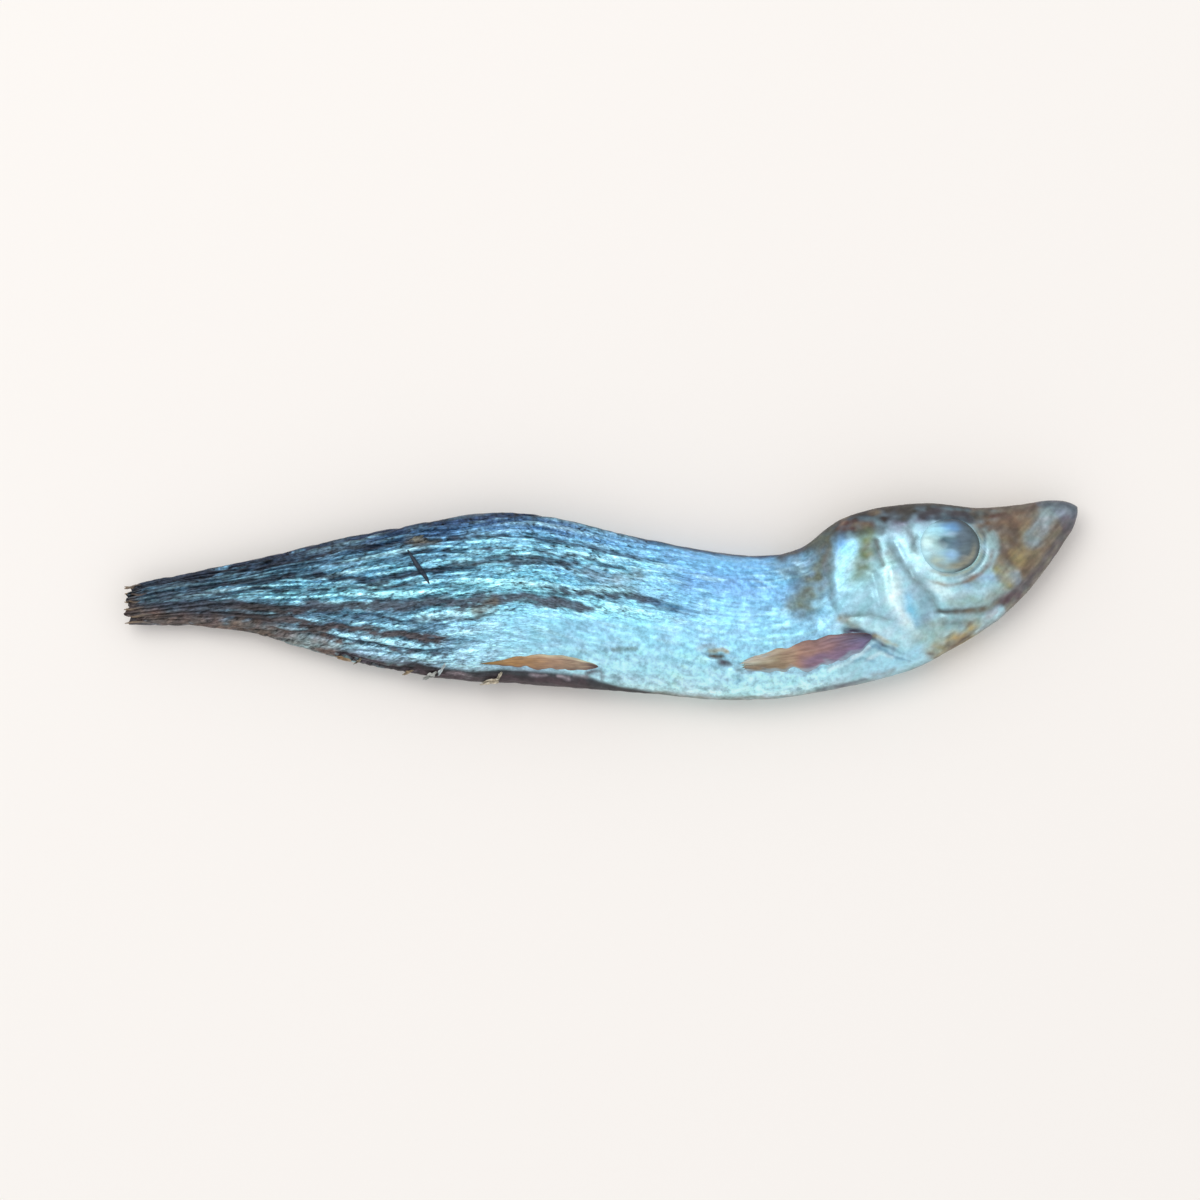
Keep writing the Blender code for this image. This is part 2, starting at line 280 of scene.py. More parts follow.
# Places on the skin, as arrays of rows from the tail and columns round each ring. x, y and z are the smooth
# form's, share is the share of the depth from the back, edge runs from 0 on the back's and the belly's ridge
# to 1 on the flank, side is 1 on the upper side and -1 on the lower, and normal points outwards.
Places = namedtuple("Places", "x y z share depth edge side normal")


def even_angles(count):
    """Angles from the back to the belly, closer together on the flank than a circle's."""
    u = np.linspace(0.0, 1.0, count + 1)
    return (1.0 - EVEN_SHARE) * math.pi * u + EVEN_SHARE * np.arccos(1.0 - 2.0 * u)


def skin_places():
    """The smooth form of the whole fish."""
    rows = np.array([(*back, *belly, half_thick) for back, belly, half_thick in SECTIONS])
    knots = (rows[:, 0] + rows[:, 2]) / 2
    body_steps = np.linspace(knots[0], HEAD_START, BODY_ROWS, endpoint=False)
    head_steps = np.linspace(HEAD_START, knots[-1], HEAD_ROWS)
    found = curve_through(knots, rows, np.concatenate((body_steps, head_steps)))
    over, under = even_angles(UPPER_COLUMNS), even_angles(LOWER_COLUMNS)[-2:0:-1]
    angle = np.concatenate((over, under))[None, :]
    side = np.concatenate((np.ones(len(over)), -np.ones(len(under))))[None, :]
    share = (1.0 - np.cos(angle)) / 2.0
    back, belly = found[:, None, 0:2], found[:, None, 2:4]
    x, y = np.moveaxis(back + (belly - back) * share[..., None], -1, 0)
    depth = np.hypot(*np.moveaxis(belly - back, -1, 0))
    power = BACK_POWER + (BELLY_POWER - BACK_POWER) * angle / math.pi
    sine = np.sin(angle).clip(0.0)
    middle = MIDDLE_HEIGHT - TAIL_SAG * (1.0 - smooth_step(0.0, TAIL_SAG_END, x))
    z = middle + side * found[:, 4][:, None] * sine**power
    points = np.stack((x, y, z), axis=-1)
    around = np.roll(points, -1, axis=1) - np.roll(points, 1, axis=1)
    normal = np.cross(around, np.gradient(points, axis=0))
    normal /= np.linalg.norm(normal, axis=-1, keepdims=True) + 1e-9
    outwards = np.sign((normal[..., 2] * side).sum())
    full = np.ones_like(x)
    return Places(x, y, z, share * full, depth * full, sine * full, side * full, normal * outwards)


PLEAT_LANES = 13.0
PLEAT_LENGTH = 15.0
PLEAT_DEPTH = 0.32
PLEAT_CREASE = 0.17
PLEAT_GAIN = 1.4
PLEAT_HALF_DEPTH = 6.0
UPPER_PLEATS_FADE = (44.0, 66.0)  # where the pleats die away above the middle of the flank
LOWER_PLEATS_FADE = (31.0, 44.0)
NECK_FADE = (70.0, 76.0)  # where the body's wrinkles die away
WRINKLE_LENGTH = 4.2
WRINKLE_WIDTH = 0.50
WRINKLE_DEPTH = 0.080
WRINKLE_CREASE = 0.16
CRINKLE_LENGTH = 1.1
CRINKLE_WIDTH = 0.50
CRINKLE_DEPTH = 0.050
CRINKLE_SLANT = 0.30  # millimetres towards the belly for each millimetre towards the head
LUMP_SIZE = 2.3
SMALL_LUMP_SIZE = 0.8
LUMP_HEIGHT = 0.07
SMALL_LUMP_SHARE = 0.35


def skin_noise(seed, p, long, wide, high=None):
    """Noise over the skin, long along the body and wide across it, in millimetres."""
    return noise(seed, p.x / long, p.share * p.depth / wide, p.z / (high or wide))


def plan_noise(seed, p, size, high=None):
    """Noise that is as long as it is wide, in millimetres."""
    return noise(seed, p.x / size, p.y / size, p.z / (high or size))


def side_noise(seed, p, size):
    """Noise in plan, with its own pattern on each side of the fish."""
    return noise(seed, p.x / size, p.y / size, p.side)


def furrows_at(p):
    """(height of the named furrows, how brown their floors are, how much of a furrow each place is)."""
    height, brown, hollow = np.zeros((3, *p.x.shape))
    size = FURROW_GAIN * p.depth / (p.depth + FURROW_HALF_DEPTH)
    for n, (line, deep, width, dry) in enumerate(FURROWS):
        knots, shares = np.array(line).T
        wander = FURROW_WANDER * noise(n, p.x / 3.1, p.side * 5.0)
        aside = (p.share - np.interp(p.x, knots, shares)) * p.depth - wander
        swell = 1.0 + FURROW_SWELL * noise(20 + n, p.x / 4.3, p.side * 7.0)
        mask = hill(aside, width * swell * size) * smooth_step(0.1, 0.5, p.edge)
        mask *= window(knots[0], knots[-1] - FURROW_FADE, FURROW_FADE, p.x)
        height -= deep * size * mask
        brown = np.maximum(brown, mask * dry)
        hollow = np.maximum(hollow, mask * (0.48 + 1.1 * deep))
    return height, brown, np.clip(hollow, 0.0, 1.0)


def pleats_at(p):
    """(height, hollow, ridge_highlight) of the many smaller pleats and wrinkles of the dried skin;
    ridge_highlight marks the pleats' tops, where a highlight is painted.
    """
    low = smooth_step(0.44, 0.60, p.share)
    start, end = (high + (under - high) * low for high, under in zip(UPPER_PLEATS_FADE, LOWER_PLEATS_FADE))
    rear = 1.0 - smooth_step(start, end, p.x)
    body = 1.0 - smooth_step(*NECK_FADE, p.x)
    lanes = p.share * PLEAT_LANES + p.z / 1.3
    lanes += 0.6 * noise(41, p.x / 9.0, p.share * 4.0, p.z / 4.0)
    field = noise(42, p.x / PLEAT_LENGTH, lanes)
    crease = hill(field, PLEAT_CREASE * (1.0 - 0.35 * smooth_step(30.0, 46.0, p.x)))
    size = PLEAT_GAIN * p.depth / (p.depth + PLEAT_HALF_DEPTH)
    pleat = PLEAT_DEPTH * size * (0.8 * np.abs(field) - crease) * rear
    bend = 0.35 * skin_noise(43, p, 3.0, 2.0)
    across = p.share * p.depth
    fine = noise(44, p.x / WRINKLE_LENGTH, across / WRINKLE_WIDTH + bend, p.z / WRINKLE_WIDTH)
    fine_crease = hill(fine, WRINKLE_CREASE)
    wrinkle = WRINKLE_DEPTH * (0.7 * np.abs(fine) - fine_crease) * body * (0.25 + 0.75 * rear)
    slant = across - CRINKLE_SLANT * p.x
    short = noise(45, p.x / CRINKLE_LENGTH, slant / CRINKLE_WIDTH + bend, p.z / CRINKLE_WIDTH)
    crinkle = CRINKLE_DEPTH * short * body
    hollow = crease * rear + 0.55 * fine_crease * body * (0.15 + 0.85 * rear)
    hollow += 0.14 * smooth_step(0.15, 0.6, -short) * body
    # Where the pleats and wrinkles stand up: the mask of a painted highlight.
    ridge_highlight = smooth_step(0.30, 0.75, np.abs(field)) * rear
    ridge_highlight += 0.5 * smooth_step(0.25, 0.6, np.abs(fine)) * body
    return pleat + wrinkle + crinkle, np.clip(hollow, 0.0, 1.0), np.clip(ridge_highlight, 0.0, 1.0)


def head_relief_at(p):
    """The height of the gill cover, the creases and the eye's ringed socket."""
    across = np.abs((p.x - GILL_CENTRE[0]) / GILL_REACH[0]) ** GILL_POWER
    along = np.abs((p.y - GILL_CENTRE[1]) / GILL_REACH[1]) ** GILL_POWER
    oval = (across + along) ** (1.0 / GILL_POWER)
    plate = 1.0 - smooth_step(1.0 - GILL_EDGE, 1.0 + GILL_EDGE, oval)
    rear = GILL_CENTRE[0] - GILL_REACH[0]
    height = GILL_STEP * plate * (1.0 - smooth_step(rear, rear + GILL_FADE, p.x))
    uneven = 0.8 + 0.4 * side_noise(51, p, 1.6)
    for points, rise, width in CREASES:
        height += rise * uneven * hill(distance_to(points, p.x, p.y), width)
    off, front, low_front = round_the_eye(p)
    height -= SOCKET_DEPTH * low_front * (1.0 - smooth_step(SOCKET_RADIUS - SOCKET_EDGE, SOCKET_RADIUS, off))
    height += LID_HEIGHT * front * hill(off - LID_RADIUS, LID_WIDTH)
    height -= LID_HEIGHT * front * hill(off - OUTER_LID_GROOVE, LID_WIDTH)
    height += OUTER_LID_HEIGHT * front * hill(off - OUTER_LID_RADIUS, LID_WIDTH)
    return height * p.edge**RELIEF_FADE_POWER


def round_the_eye(p):
    """(distance from the eye's centre, 1 on its side towards the snout, 1 on its lower and snout sides)."""
    off_x, off_y = p.x - EYE_CENTRE[0], p.y - EYE_CENTRE[1]
    off = np.hypot(off_x, off_y * EYE_RADIUS / EYE_HEIGHT) + 0.10 * side_noise(50, p, 1.7)
    to_snout, to_jaw = ((u * off_x + v * off_y) / (off + 0.1) for u, v in (TO_SNOUT, TO_JAW))
    return off, smooth_step(0.25, 0.95, to_snout), smooth_step(-0.1, 0.5, to_jaw)


def lumps_at(p):
    """The uneven, slightly sunken flesh of the head and the shoulder."""
    off, _, _ = round_the_eye(p)
    calm = smooth_step(SOCKET_RADIUS - SOCKET_EDGE, CALM_RADIUS, off)
    head = 0.35 + 0.65 * smooth_step(68.0, 76.0, p.x)
    lumps = plan_noise(61, p, LUMP_SIZE) + SMALL_LUMP_SHARE * plan_noise(62, p, SMALL_LUMP_SIZE)
    return LUMP_HEIGHT * lumps * calm * head


STROKE_SOFTNESS = 1.5
STROKE_WARP = 0.34
STROKE_FRAY = 0.07
STROKE_MOTTLE = 0.34
WARM_DULLNESS = 0.6  # a warm stroke is dry and dull, a cool one is a little glossier
COOL_DULLNESS = -0.2
SIDE_WARP = 1.0  # how much more the strokes wander on the steep sides
THIN_WARP = 0.25  # how much the thinnest strokes wander, as a share of the wide ones
SIDE_DRIFT = 2.4  # how far the strokes stray round the ridges of the back and the belly
WARP_SIZE = 1.3
FRAY_SIZE = 0.45
DRIFT_SIZE = 3.4

# A stroke's plan points, width, the distance over which its edge is lost, colour and strength.
HEAD_STROKES = (
    # Brown of the snout, above the mouth.
    (((91.0, 8.4), (93.4, 8.0), (94.2, 6.4), (93.8, 4.4)), 1.9, 0.9, (108, 86, 66), 0.95),
    (((92.6, 9.2), (95.4, 9.4)), 0.8, 0.5, (112, 92, 72), 0.8),
    (((92.9, 3.4), (94.9, 5.6), (95.0, 7.8)), 0.9, 0.6, (138, 122, 88), 0.85),
    (((95.0, 3.6), (96.8, 6.0), (98.2, 8.2)), 1.2, 0.6, (122, 106, 84), 0.9),
    (((93.2, 5.4), (94.0, 4.4)), 0.5, 0.35, (158, 138, 94), 0.75),
    (((90.4, 7.4), (91.9, 5.6), (92.6, 4.2)), 0.5, 0.4, (96, 76, 58), 0.8),
    (((90.6, 9.4), (92.6, 9.3)), 0.30, 0.3, (88, 60, 54), 0.8),
    (((91.2, 8.2), (93.6, 7.4)), 0.35, 0.4, (88, 70, 56), 0.7),
    (((90.0, 4.4), (91.2, 5.4), (91.0, 7.0)), 0.45, 0.4, (176, 208, 212), 0.75),
    (((95.3, 7.0), (96.3, 8.6), (97.2, 10.0)), 0.9, 0.5, (140, 154, 158), 0.9),
    (((98.5, 9.9), (99.5, 8.9)), 1.0, 0.5, (132, 142, 154), 0.9),
    (((98.7, 8.9), (98.9, 7.7)), 0.45, 0.3, (92, 74, 88), 0.8),
    # Crown, nape and top of the head.
    (((81.0, 8.3), (82.6, 9.0), (84.0, 9.3)), 0.9, 0.8, (128, 134, 150), 0.85),
    (((68.8, 4.9), (70.6, 5.6), (72.6, 6.7)), 0.55, 0.4, (66, 56, 54), 0.9),
    (((72.6, 6.6), (74.4, 7.6), (76.5, 8.3), (79.6, 9.2), (81.2, 10.1)), 1.25, 0.5, (47, 37, 35), 1.0),
    (((75.6, 8.0), (78.2, 8.1)), 0.45, 0.35, (100, 64, 60), 0.6),
    (((77.2, 7.4), (79.4, 7.6)), 0.35, 0.3, (52, 44, 44), 0.8),
    (((75.2, 8.9), (76.4, 9.3)), 0.28, 0.25, (120, 108, 92), 0.7),
    (((78.8, 9.4), (79.9, 9.7)), 0.20, 0.35, (132, 114, 94), 0.6),
    (((81.4, 10.0), (83.4, 10.2), (86.0, 10.3), (89.6, 10.0)), 0.85, 0.45, (58, 54, 50), 0.98),
    (((83.8, 9.3), (85.8, 9.45), (87.8, 9.3), (88.8, 9.0)), 0.50, 0.3, (60, 58, 64), 1.0),
    (((84.4, 9.0), (86.2, 9.1), (88.2, 8.9)), 0.16, 0.25, (66, 78, 90), 0.8),
    (((89.2, 10.1), (93.0, 10.2), (96.0, 10.6)), 0.45, 0.3, (104, 92, 82), 0.9),
    (((96.2, 10.8), (98.8, 10.7), (99.8, 10.2), (99.8, 9.2), (99.4, 8.2)), 0.40, 0.3, (98, 102, 112), 0.9),
    # Shoulder behind the gill cover.
    (((73.6, 6.0), (72.9, 3.6), (72.0, 1.6), (71.2, 0.2)), 1.40, 1.3, (96, 102, 86), 0.95),
    (((70.8, 4.9), (72.8, 5.7)), 0.7, 0.8, (86, 96, 98), 0.6),
    (((68.4, 3.9), (70.4, 3.5), (72.0, 4.6)), 0.8, 0.9, (108, 142, 160), 0.5),
    (((73.9, 5.4), (73.8, 3.6)), 0.32, 0.35, (104, 92, 92), 0.7),
    (((70.0, -0.2), (71.7, 0.7)), 0.35, 0.7, (132, 146, 124), 0.5),
    (((69.2, 3.6), (70.6, 3.9)), 0.6, 0.5, (136, 160, 164), 0.6),
    # Gill cover, from its rear edge to the cheek.
    (((75.3, 5.2), (75.3, 2.6), (75.5, -0.4)), 0.70, 1.0, (154, 203, 220), 0.85),
    (((74.0, 5.4), (74.0, 2.0), (74.4, -0.4)), 0.16, 0.4, MOSS, 0.55),
    (((78.0, 6.7), (77.6, 4.8), (77.0, 3.2)), 0.85, 1.0, (102, 118, 84), 0.95),
    (((78.0, 6.4), (77.8, 5.6)), 0.25, 0.5, (146, 144, 96), 0.5),
    (((75.3, 6.2), (75.8, 5.7)), 0.70, 0.7, (128, 192, 238), 0.90),
    (((76.5, 5.2), (76.3, 2.2)), 0.25, 0.8, (140, 182, 182), 0.6),
    (((77.6, 1.4), (77.8, -0.4)), 1.0, 0.9, (150, 196, 206), 0.6),
    (((79.8, 4.4), (79.9, 2.2), (80.3, 0.4)), 0.60, 0.7, (196, 236, 236), 0.75),
    (((78.8, 6.6), (79.1, 5.2), (79.5, 4.0)), 0.20, 0.35, (70, 66, 62), 0.85),
    (((80.2, 5.8), (80.5, 4.6)), 0.55, 0.6, (120, 142, 138), 0.75),
    # A painted highlight along the gill cover's front ridge, white, with its cyan falloff beside it.
    (((80.6, 2.6), (80.9, 0.6), (81.4, -1.0), (82.4, -2.2)), 0.50, 0.70, (236, 255, 255), 1.0),
    (((82.0, 0.6), (82.6, -1.0), (83.2, -2.1)), 0.40, 0.6, (128, 200, 232), 0.8),
    # A bluish painted shadow beside the groove at the cheek's edge.
    (((83.1, 2.2), (84.0, 0.0), (83.9, -2.0)), 0.60, 0.8, (134, 162, 178), 0.75),
    (GILL_FOLD, 0.18, 0.35, MOSS, 0.75),
    (((75.2, -1.5), (76.7, -2.2)), 0.40, 0.4, (140, 138, 118), 0.85),
    (((77.6, -2.2), (79.9, -2.9), (82.2, -4.2)), 0.45, 0.5, (212, 246, 250), 0.7),
    # Fold that runs from the fin's root to the throat; the first three strokes are a painted shadow along it.
    (((75.6, -2.8), (77.0, -2.8), (78.4, -3.3)), 0.30, 0.3, (66, 58, 78), 0.9),
    (((78.0, -3.3), (79.2, -4.0), (80.6, -4.8)), 0.14, 0.22, (58, 64, 84), 0.9),
    (((80.6, -4.8), (82.4, -5.6)), 0.06, 0.22, (72, 88, 104), 0.8),
    (((78.6, -3.3), (80.8, -4.4)), 0.16, 0.22, (188, 186, 158), 0.8),
    (((77.6, -4.9), (78.8, -4.2), (80.4, -5.3)), 0.12, 0.25, DEEP_BLUE, 0.75),
    (((77.0, -4.6), (78.0, -3.9)), 0.16, 0.25, (84, 108, 136), 0.8),
    (((79.0, -6.6), (82.0, -5.9), (83.2, -5.0)), 1.0, 1.1, (178, 234, 250), 0.8),
    (((76.4, -5.5), (78.0, -4.5)), 0.12, 0.22, (232, 252, 255), 0.8),
    (((78.0, -5.7), (79.3, -5.0), (80.5, -5.6)), 0.12, 0.22, (228, 252, 255), 0.8),
    (((74.0, -6.9), (76.2, -6.0)), 0.14, 0.25, (228, 252, 255), 0.7),
    (((79.0, -4.6), (80.8, -5.6), (82.0, -6.1)), 0.07, 0.22, (84, 128, 160), 0.7),
    (THROAT_WRINKLE, 0.06, 0.22, (92, 136, 164), 0.6),
    (((72.5, -9.0), (75.0, -8.6), (77.4, -7.9)), 0.18, 0.3, (84, 82, 90), 0.8),
    (((78.6, -7.4), (80.6, -6.9)), 0.10, 0.3, (120, 100, 84), 0.6),
    # Cheek, from its groove to the eye.
    (((83.8, 3.4), (86.7, 1.7), (89.8, 1.9), (91.4, 2.5)), 1.6, 1.0, (190, 228, 236), 0.8),
    (((82.5, 5.6), (83.6, 4.2), (84.8, 3.2)), 0.36, 0.45, (206, 244, 248), 0.85),
    (((85.2, 2.2), (86.0, 1.3)), 0.65, 0.5, (226, 255, 255), 0.9),
    (((88.4, 2.2), (90.8, 2.8)), 0.4, 0.6, (154, 192, 222), 0.7),
    (((88.0, 3.0), (89.4, 2.2)), 0.30, 0.5, (148, 160, 140), 0.6),
    (((91.5, 3.8), (92.2, 2.8), (92.8, 2.0)), 0.46, 0.45, (152, 140, 94), 0.85),
    (((91.8, 4.6), (92.6, 3.6)), 0.30, 0.4, (128, 108, 76), 0.7),
    (((93.3, 3.0), (93.9, 2.4)), 0.32, 0.4, (138, 156, 166), 0.75),
    (((88.2, 2.65), (89.4, 3.15), (90.3, 3.9)), 0.15, 0.3, (104, 88, 76), 0.75),
    # Painted shade along the groove at the cheek's edge.
    (((81.3, 4.5), (82.6, 2.9), (84.3, 1.2), (85.3, -0.6)), 0.16, 0.55, (92, 104, 100), 0.80),
    (((82.3, 7.7), (82.9, 5.8)), 0.5, 0.6, (116, 134, 138), 0.9),
    (((82.9, 7.1), (82.7, 6.2)), 0.14, 0.25, (88, 108, 112), 0.7),
    (((82.8, 7.5),), 0.22, 0.3, PEARL, 0.8),
    # Mouth and lower jaw.
    (((86.7, 0.2), (89.8, 0.4), (92.0, 1.4)), 0.50, 0.6, (156, 172, 156), 0.75),
    # The mouth's dark line: partly its own dark lip line, partly painted shade in its groove.
    (((85.2, -0.8), (87.2, -0.8), (89.0, -0.7)), 0.16, 0.3, (76, 76, 70), 0.9),
    (((88.4, -0.8), (90.8, -0.5), (92.4, 0.2), (93.6, 0.9)), 0.26, 0.4, (98, 82, 70), 0.9),
    (((92.2, 0.2), (93.8, 1.0)), 0.45, 0.4, (92, 66, 76), 0.9),
    (((90.6, -1.0), (91.8, -0.4)), 0.16, 0.3, (170, 172, 196), 0.7),
    (((86.2, -1.8), (89.0, -1.7), (91.0, -1.2)), 0.6, 0.6, (148, 168, 166), 0.7),
    (((85.9, -2.2), (88.4, -1.9)), 0.14, 0.3, (108, 126, 124), 0.7),
    (((87.2, -0.85), (89.8, -0.65), (91.6, -0.1)), 0.22, 0.5, (112, 108, 86), 0.80),
    # The mouth's dark line again, partly painted shade in its groove.
    (((85.4, -0.75), (88.0, -0.75)), 0.10, 0.25, (70, 70, 64), 0.85),
    (((90.0, -1.7), (91.8, -0.9)), 0.20, 0.35, (196, 204, 208), 0.75),
    (((83.2, -3.4), (85.4, -2.7)), 0.8, 0.8, (168, 188, 168), 0.7),
    (((84.9, -4.8), (86.9, -3.8), (89.2, -2.5)), 0.62, 0.8, (178, 166, 128), 0.92),
    (((86.7, -3.9), (88.8, -2.8)), 0.34, 0.6, (186, 164, 108), 0.85),
    (((84.6, -5.4), (86.4, -4.6), (88.8, -3.3)), 0.24, 0.35, (110, 88, 68), 0.85),
    (((93.5, 1.2), (95.4, 3.0), (97.6, 6.0), (99.4, 8.4)), 0.40, 0.35, (98, 92, 94), 0.9),
)
BODY_STROKES = (
    # Marks on the flank, and the small torn hole.
    (((48.6, 1.6), (51.7, 1.9), (53.6, 1.4)), 0.22, 0.3, (140, 146, 134), 0.5),
    (((48.0, 3.2), (51.0, 2.6), (54.0, 3.0)), 0.55, 0.6, (116, 122, 118), 0.55),
    (((51.4, -4.8), (53.8, -4.6)), 0.24, 0.2, MOSS, 0.7),
    (((60.2, -4.6), (61.8, -4.3)), 0.22, 0.3, (150, 168, 172), 0.6),
    (((61.4, -4.90), (62.6, -4.7), (63.2, -5.0)), 0.24, 0.16, (166, 158, 130), 0.9),
    (((61.4, -5.4), (62.8, -5.5)), 0.21, 0.16, (66, 56, 40), 1.0),
    (((62.5, -6.0), (63.4, -6.4)), 0.28, 0.20, (74, 66, 74), 0.95),
    # Fine lines of the belly.
    (((64.2, -6.9), (65.8, -6.9)), 0.12, 0.3, (120, 128, 134), 0.7),
    (((64.0, -8.4), (64.4, -8.0)), 0.16, 0.2, DEEP_BLUE, 0.7),
    (((56.0, -9.5), (61.0, -10.0), (67.0, -9.8)), 0.16, 0.3, (128, 132, 118), 0.7),
    (((65.6, -6.9), (69.0, -6.9), (71.5, -7.2), (73.4, -6.5), (75.0, -5.7), (77.0, -4.7)), 0.12, 0.4,
     (122, 112, 142), 0.6),
    (((66.2, -5.2), (68.0, -4.4), (71.3, -3.7), (74.0, -3.2)), 0.06, 0.4, (104, 128, 158), 0.5),
    (((55.4, 0.1), (57.6, -0.3), (59.4, -0.8)), 0.34, 0.7, (78, 120, 156), 0.7),
    # Patch under the back's flake, and the wrinkled scar.
    (((29.8, 6.8), (31.4, 6.4), (33.0, 6.6)), 0.35, 0.45, (84, 82, 78), 0.8),
    (((30.6, 6.9), (31.6, 6.7)), 0.12, 0.2, (184, 172, 150), 0.7),
    (((37.0, -0.8), (38.0, -0.4), (38.9, 0.2)), 0.50, 0.30, (104, 98, 86), 0.75),
    (SCAR_TOP, 0.08, 0.16, (58, 50, 50), 0.9),
    (SCAR_MIDDLE, 0.08, 0.16, (58, 50, 50), 0.9),
    (SCAR_BOTTOM, 0.08, 0.16, (70, 60, 56), 0.8),
    # Keel and tail stub.
    (((31.0, -7.4), (36.0, -7.9), (42.0, -8.2), (48.0, -8.3)), 0.40, 0.4, (72, 56, 60), 0.85),
    # Thin pale streaks on the keel: painted highlights.
    (((43.0, -7.5), (44.2, -7.6)), 0.05, 0.2, (176, 164, 170), 0.7),
    (((45.4, -7.6), (46.8, -7.7)), 0.07, 0.2, (186, 174, 180), 0.8),
    (((47.4, -7.5), (48.8, -7.5)), 0.06, 0.2, (176, 164, 170), 0.7),
    (((34.0, -7.3), (36.4, -7.6)), 0.12, 0.25, (150, 138, 140), 0.6),
    (((48.6, -7.2), (50.1, -6.8), (50.6, -7.6)), 0.16, 0.22, (84, 70, 76), 0.85),
    (((0.0, 0.0), (5.0, 0.2), (9.0, -0.6)), 2.2, 1.6, SLATE, 0.65),
    (((0.0, -1.0), (6.0, -1.8), (14.0, -2.6), (22.0, -4.4)), 0.7, 0.6, BROWN, 0.7),
    (((0.0, 0.0),), 1.6, 1.2, UMBER, 0.8),
)
# The skin's colour by the share of the depth from the back, for the rear and the front of the body.
REAR_RAMP = (
    (0.00, NAVY),
    (0.05, (56, 84, 124)),
    (0.09, (84, 126, 174)),
    (0.14, (134, 198, 232)),
    (0.25, (146, 214, 240)),
    (0.33, (134, 202, 234)),
    (0.45, (154, 226, 242)),
    (0.55, (138, 200, 224)),
    (0.65, (146, 204, 228)),
    (0.85, (172, 222, 240)),
    (0.93, (150, 176, 190)),
    (0.965, (80, 68, 70)),
    (1.00, (64, 52, 54)),
)
FRONT_RAMP = (
    (0.00, (60, 88, 125)),
    (0.03, (128, 186, 230)),
    (0.08, (130, 193, 239)),
    (0.20, (113, 166, 212)),
    (0.40, (142, 201, 234)),
    (0.70, (171, 231, 254)),
    (0.86, (188, 241, 255)),
    (0.96, (206, 246, 252)),
    (1.00, (140, 140, 136)),
)
REAR_END = 38.0
FRONT_START = 60.0

# The dark keel of the belly: where it starts and ends, and the share of the depth at its top.
KEEL_REACH = (31.0, 58.0)
KEEL_PLACES = (36.0, 40.0, 48.5, 52.0, 57.0, 62.0)
KEEL_TOP = (0.925, 0.905, 0.908, 0.953, 0.977, 0.991)


def layer(under, colour, mask):
    """A display colour, or an array of linear ones, laid over another where the mask is."""
    over = ink(colour) if isinstance(colour, tuple) else colour
    return under + (over - under) * mask[..., None]


def layers(under, *coats):
    """Pairs of a colour and its mask, laid over another colour in turn."""
    for colour, mask in coats:
        under = layer(under, colour, mask)
    return under


def ramp(stops, at):
    """The colour between the stops at each place."""
    places = [place for place, _ in stops]
    colours = np.array([ink(colour) for _, colour in stops])
    return np.stack([np.interp(at, places, colours[:, channel]) for channel in range(3)], axis=-1)


def flank_paint(p):
    """The body's own colours: dark along the back and pearly on the flank."""
    drift = 0.03 * noise(71, p.x / 7.0, p.share * 3.0, p.z / 3.0) * np.sin(math.pi * p.share)
    at = np.clip(p.share + drift, 0.0, 1.0)
    mother = noise(72, p.x / 6.0, p.share * 5.0, p.z / 3.0)
    flank = smooth_step(0.3, 0.6, p.edge)
    bright = hill(p.share - 0.45, 0.10) * window(20.0, 52.0, 8.0, p.x)
    high = hill(p.share - 0.19, 0.09) * window(38.0, 54.0, 6.0, p.x)
    paint = layers(
        ramp(REAR_RAMP, at),
        (ramp(FRONT_RAMP, at), smooth_step(REAR_END, FRONT_START, p.x)),
        (VIOLET, 0.10 * smooth_step(0.1, 0.8, mother) * flank),
        ((138, 226, 230), 0.22 * smooth_step(0.1, 0.8, -mother) * flank),
        ((160, 234, 250), 0.52 * bright),
        ((166, 234, 255), 0.72 * high),
    )
    uneven = 0.30 * skin_noise(85, p, 0.8, 0.6) * window(46.0, 84.0, 6.0, p.x)
    uneven += 0.16 * skin_noise(84, p, 1.9, 0.8) * window(58.0, 84.0, 6.0, p.x)
    return paint * (1.0 + uneven * smooth_step(0.5, 0.8, p.share))[..., None]


def creased_paint(paint, p, brown, hollow, fine_hollow, ridge_highlight):
    """The body's colours with a painted highlight on the pleats' tops, dark creases and furrow floors that
    are partly painted shade and partly darker skin, and dry brown furrows.
    """
    near_back = smooth_step(0.15, 0.07, p.share)
    low_belly = smooth_step(0.84, 0.93, p.share)
    calm = 1.0 - 0.50 * window(39.0, 58.0, 5.0, p.x)
    quiet = (1.0 - 0.8 * low_belly) * (1.0 - 0.5 * near_back * smooth_step(32.0, 36.0, p.x))
    ragged = 1.0 + 0.7 * skin_noise(67, p, 0.9, 0.32, 0.4)
    patchy = 0.8 + 0.5 * skin_noise(74, p, 1.6, 0.5, 1.0)
    # The colour of the deep creases' floors, partly painted shade and partly the darker skin in them.
    deep = layer(ink((40, 52, 70)), (66, 90, 112), smooth_step(44.0, 58.0, p.x))
    dry = layer(ink((76, 88, 100)), (84, 74, 74), smooth_step(0.56, 0.70, p.share))
    dry_mask = smooth_step(0.20, 0.66, brown * patchy * ragged)
    return layers(
        paint,
        # A painted highlight on the pleats' tops.
        ((198, 248, 254), 0.68 * ridge_highlight * (1.0 - 0.55 * near_back)),
        # Dark fine creases, then deep crease floors: partly painted shade, partly darker skin.
        ((38, 62, 92), 0.66 * calm * quiet * smooth_step(0.12, 0.62, fine_hollow * ragged)),
        (deep, 0.86 * smooth_step(0.20, 0.82, hollow * ragged)),
        (dry, 0.88 * dry_mask * (1.0 - 0.4 * smooth_step(50.0, 58.0, p.x))),
    )


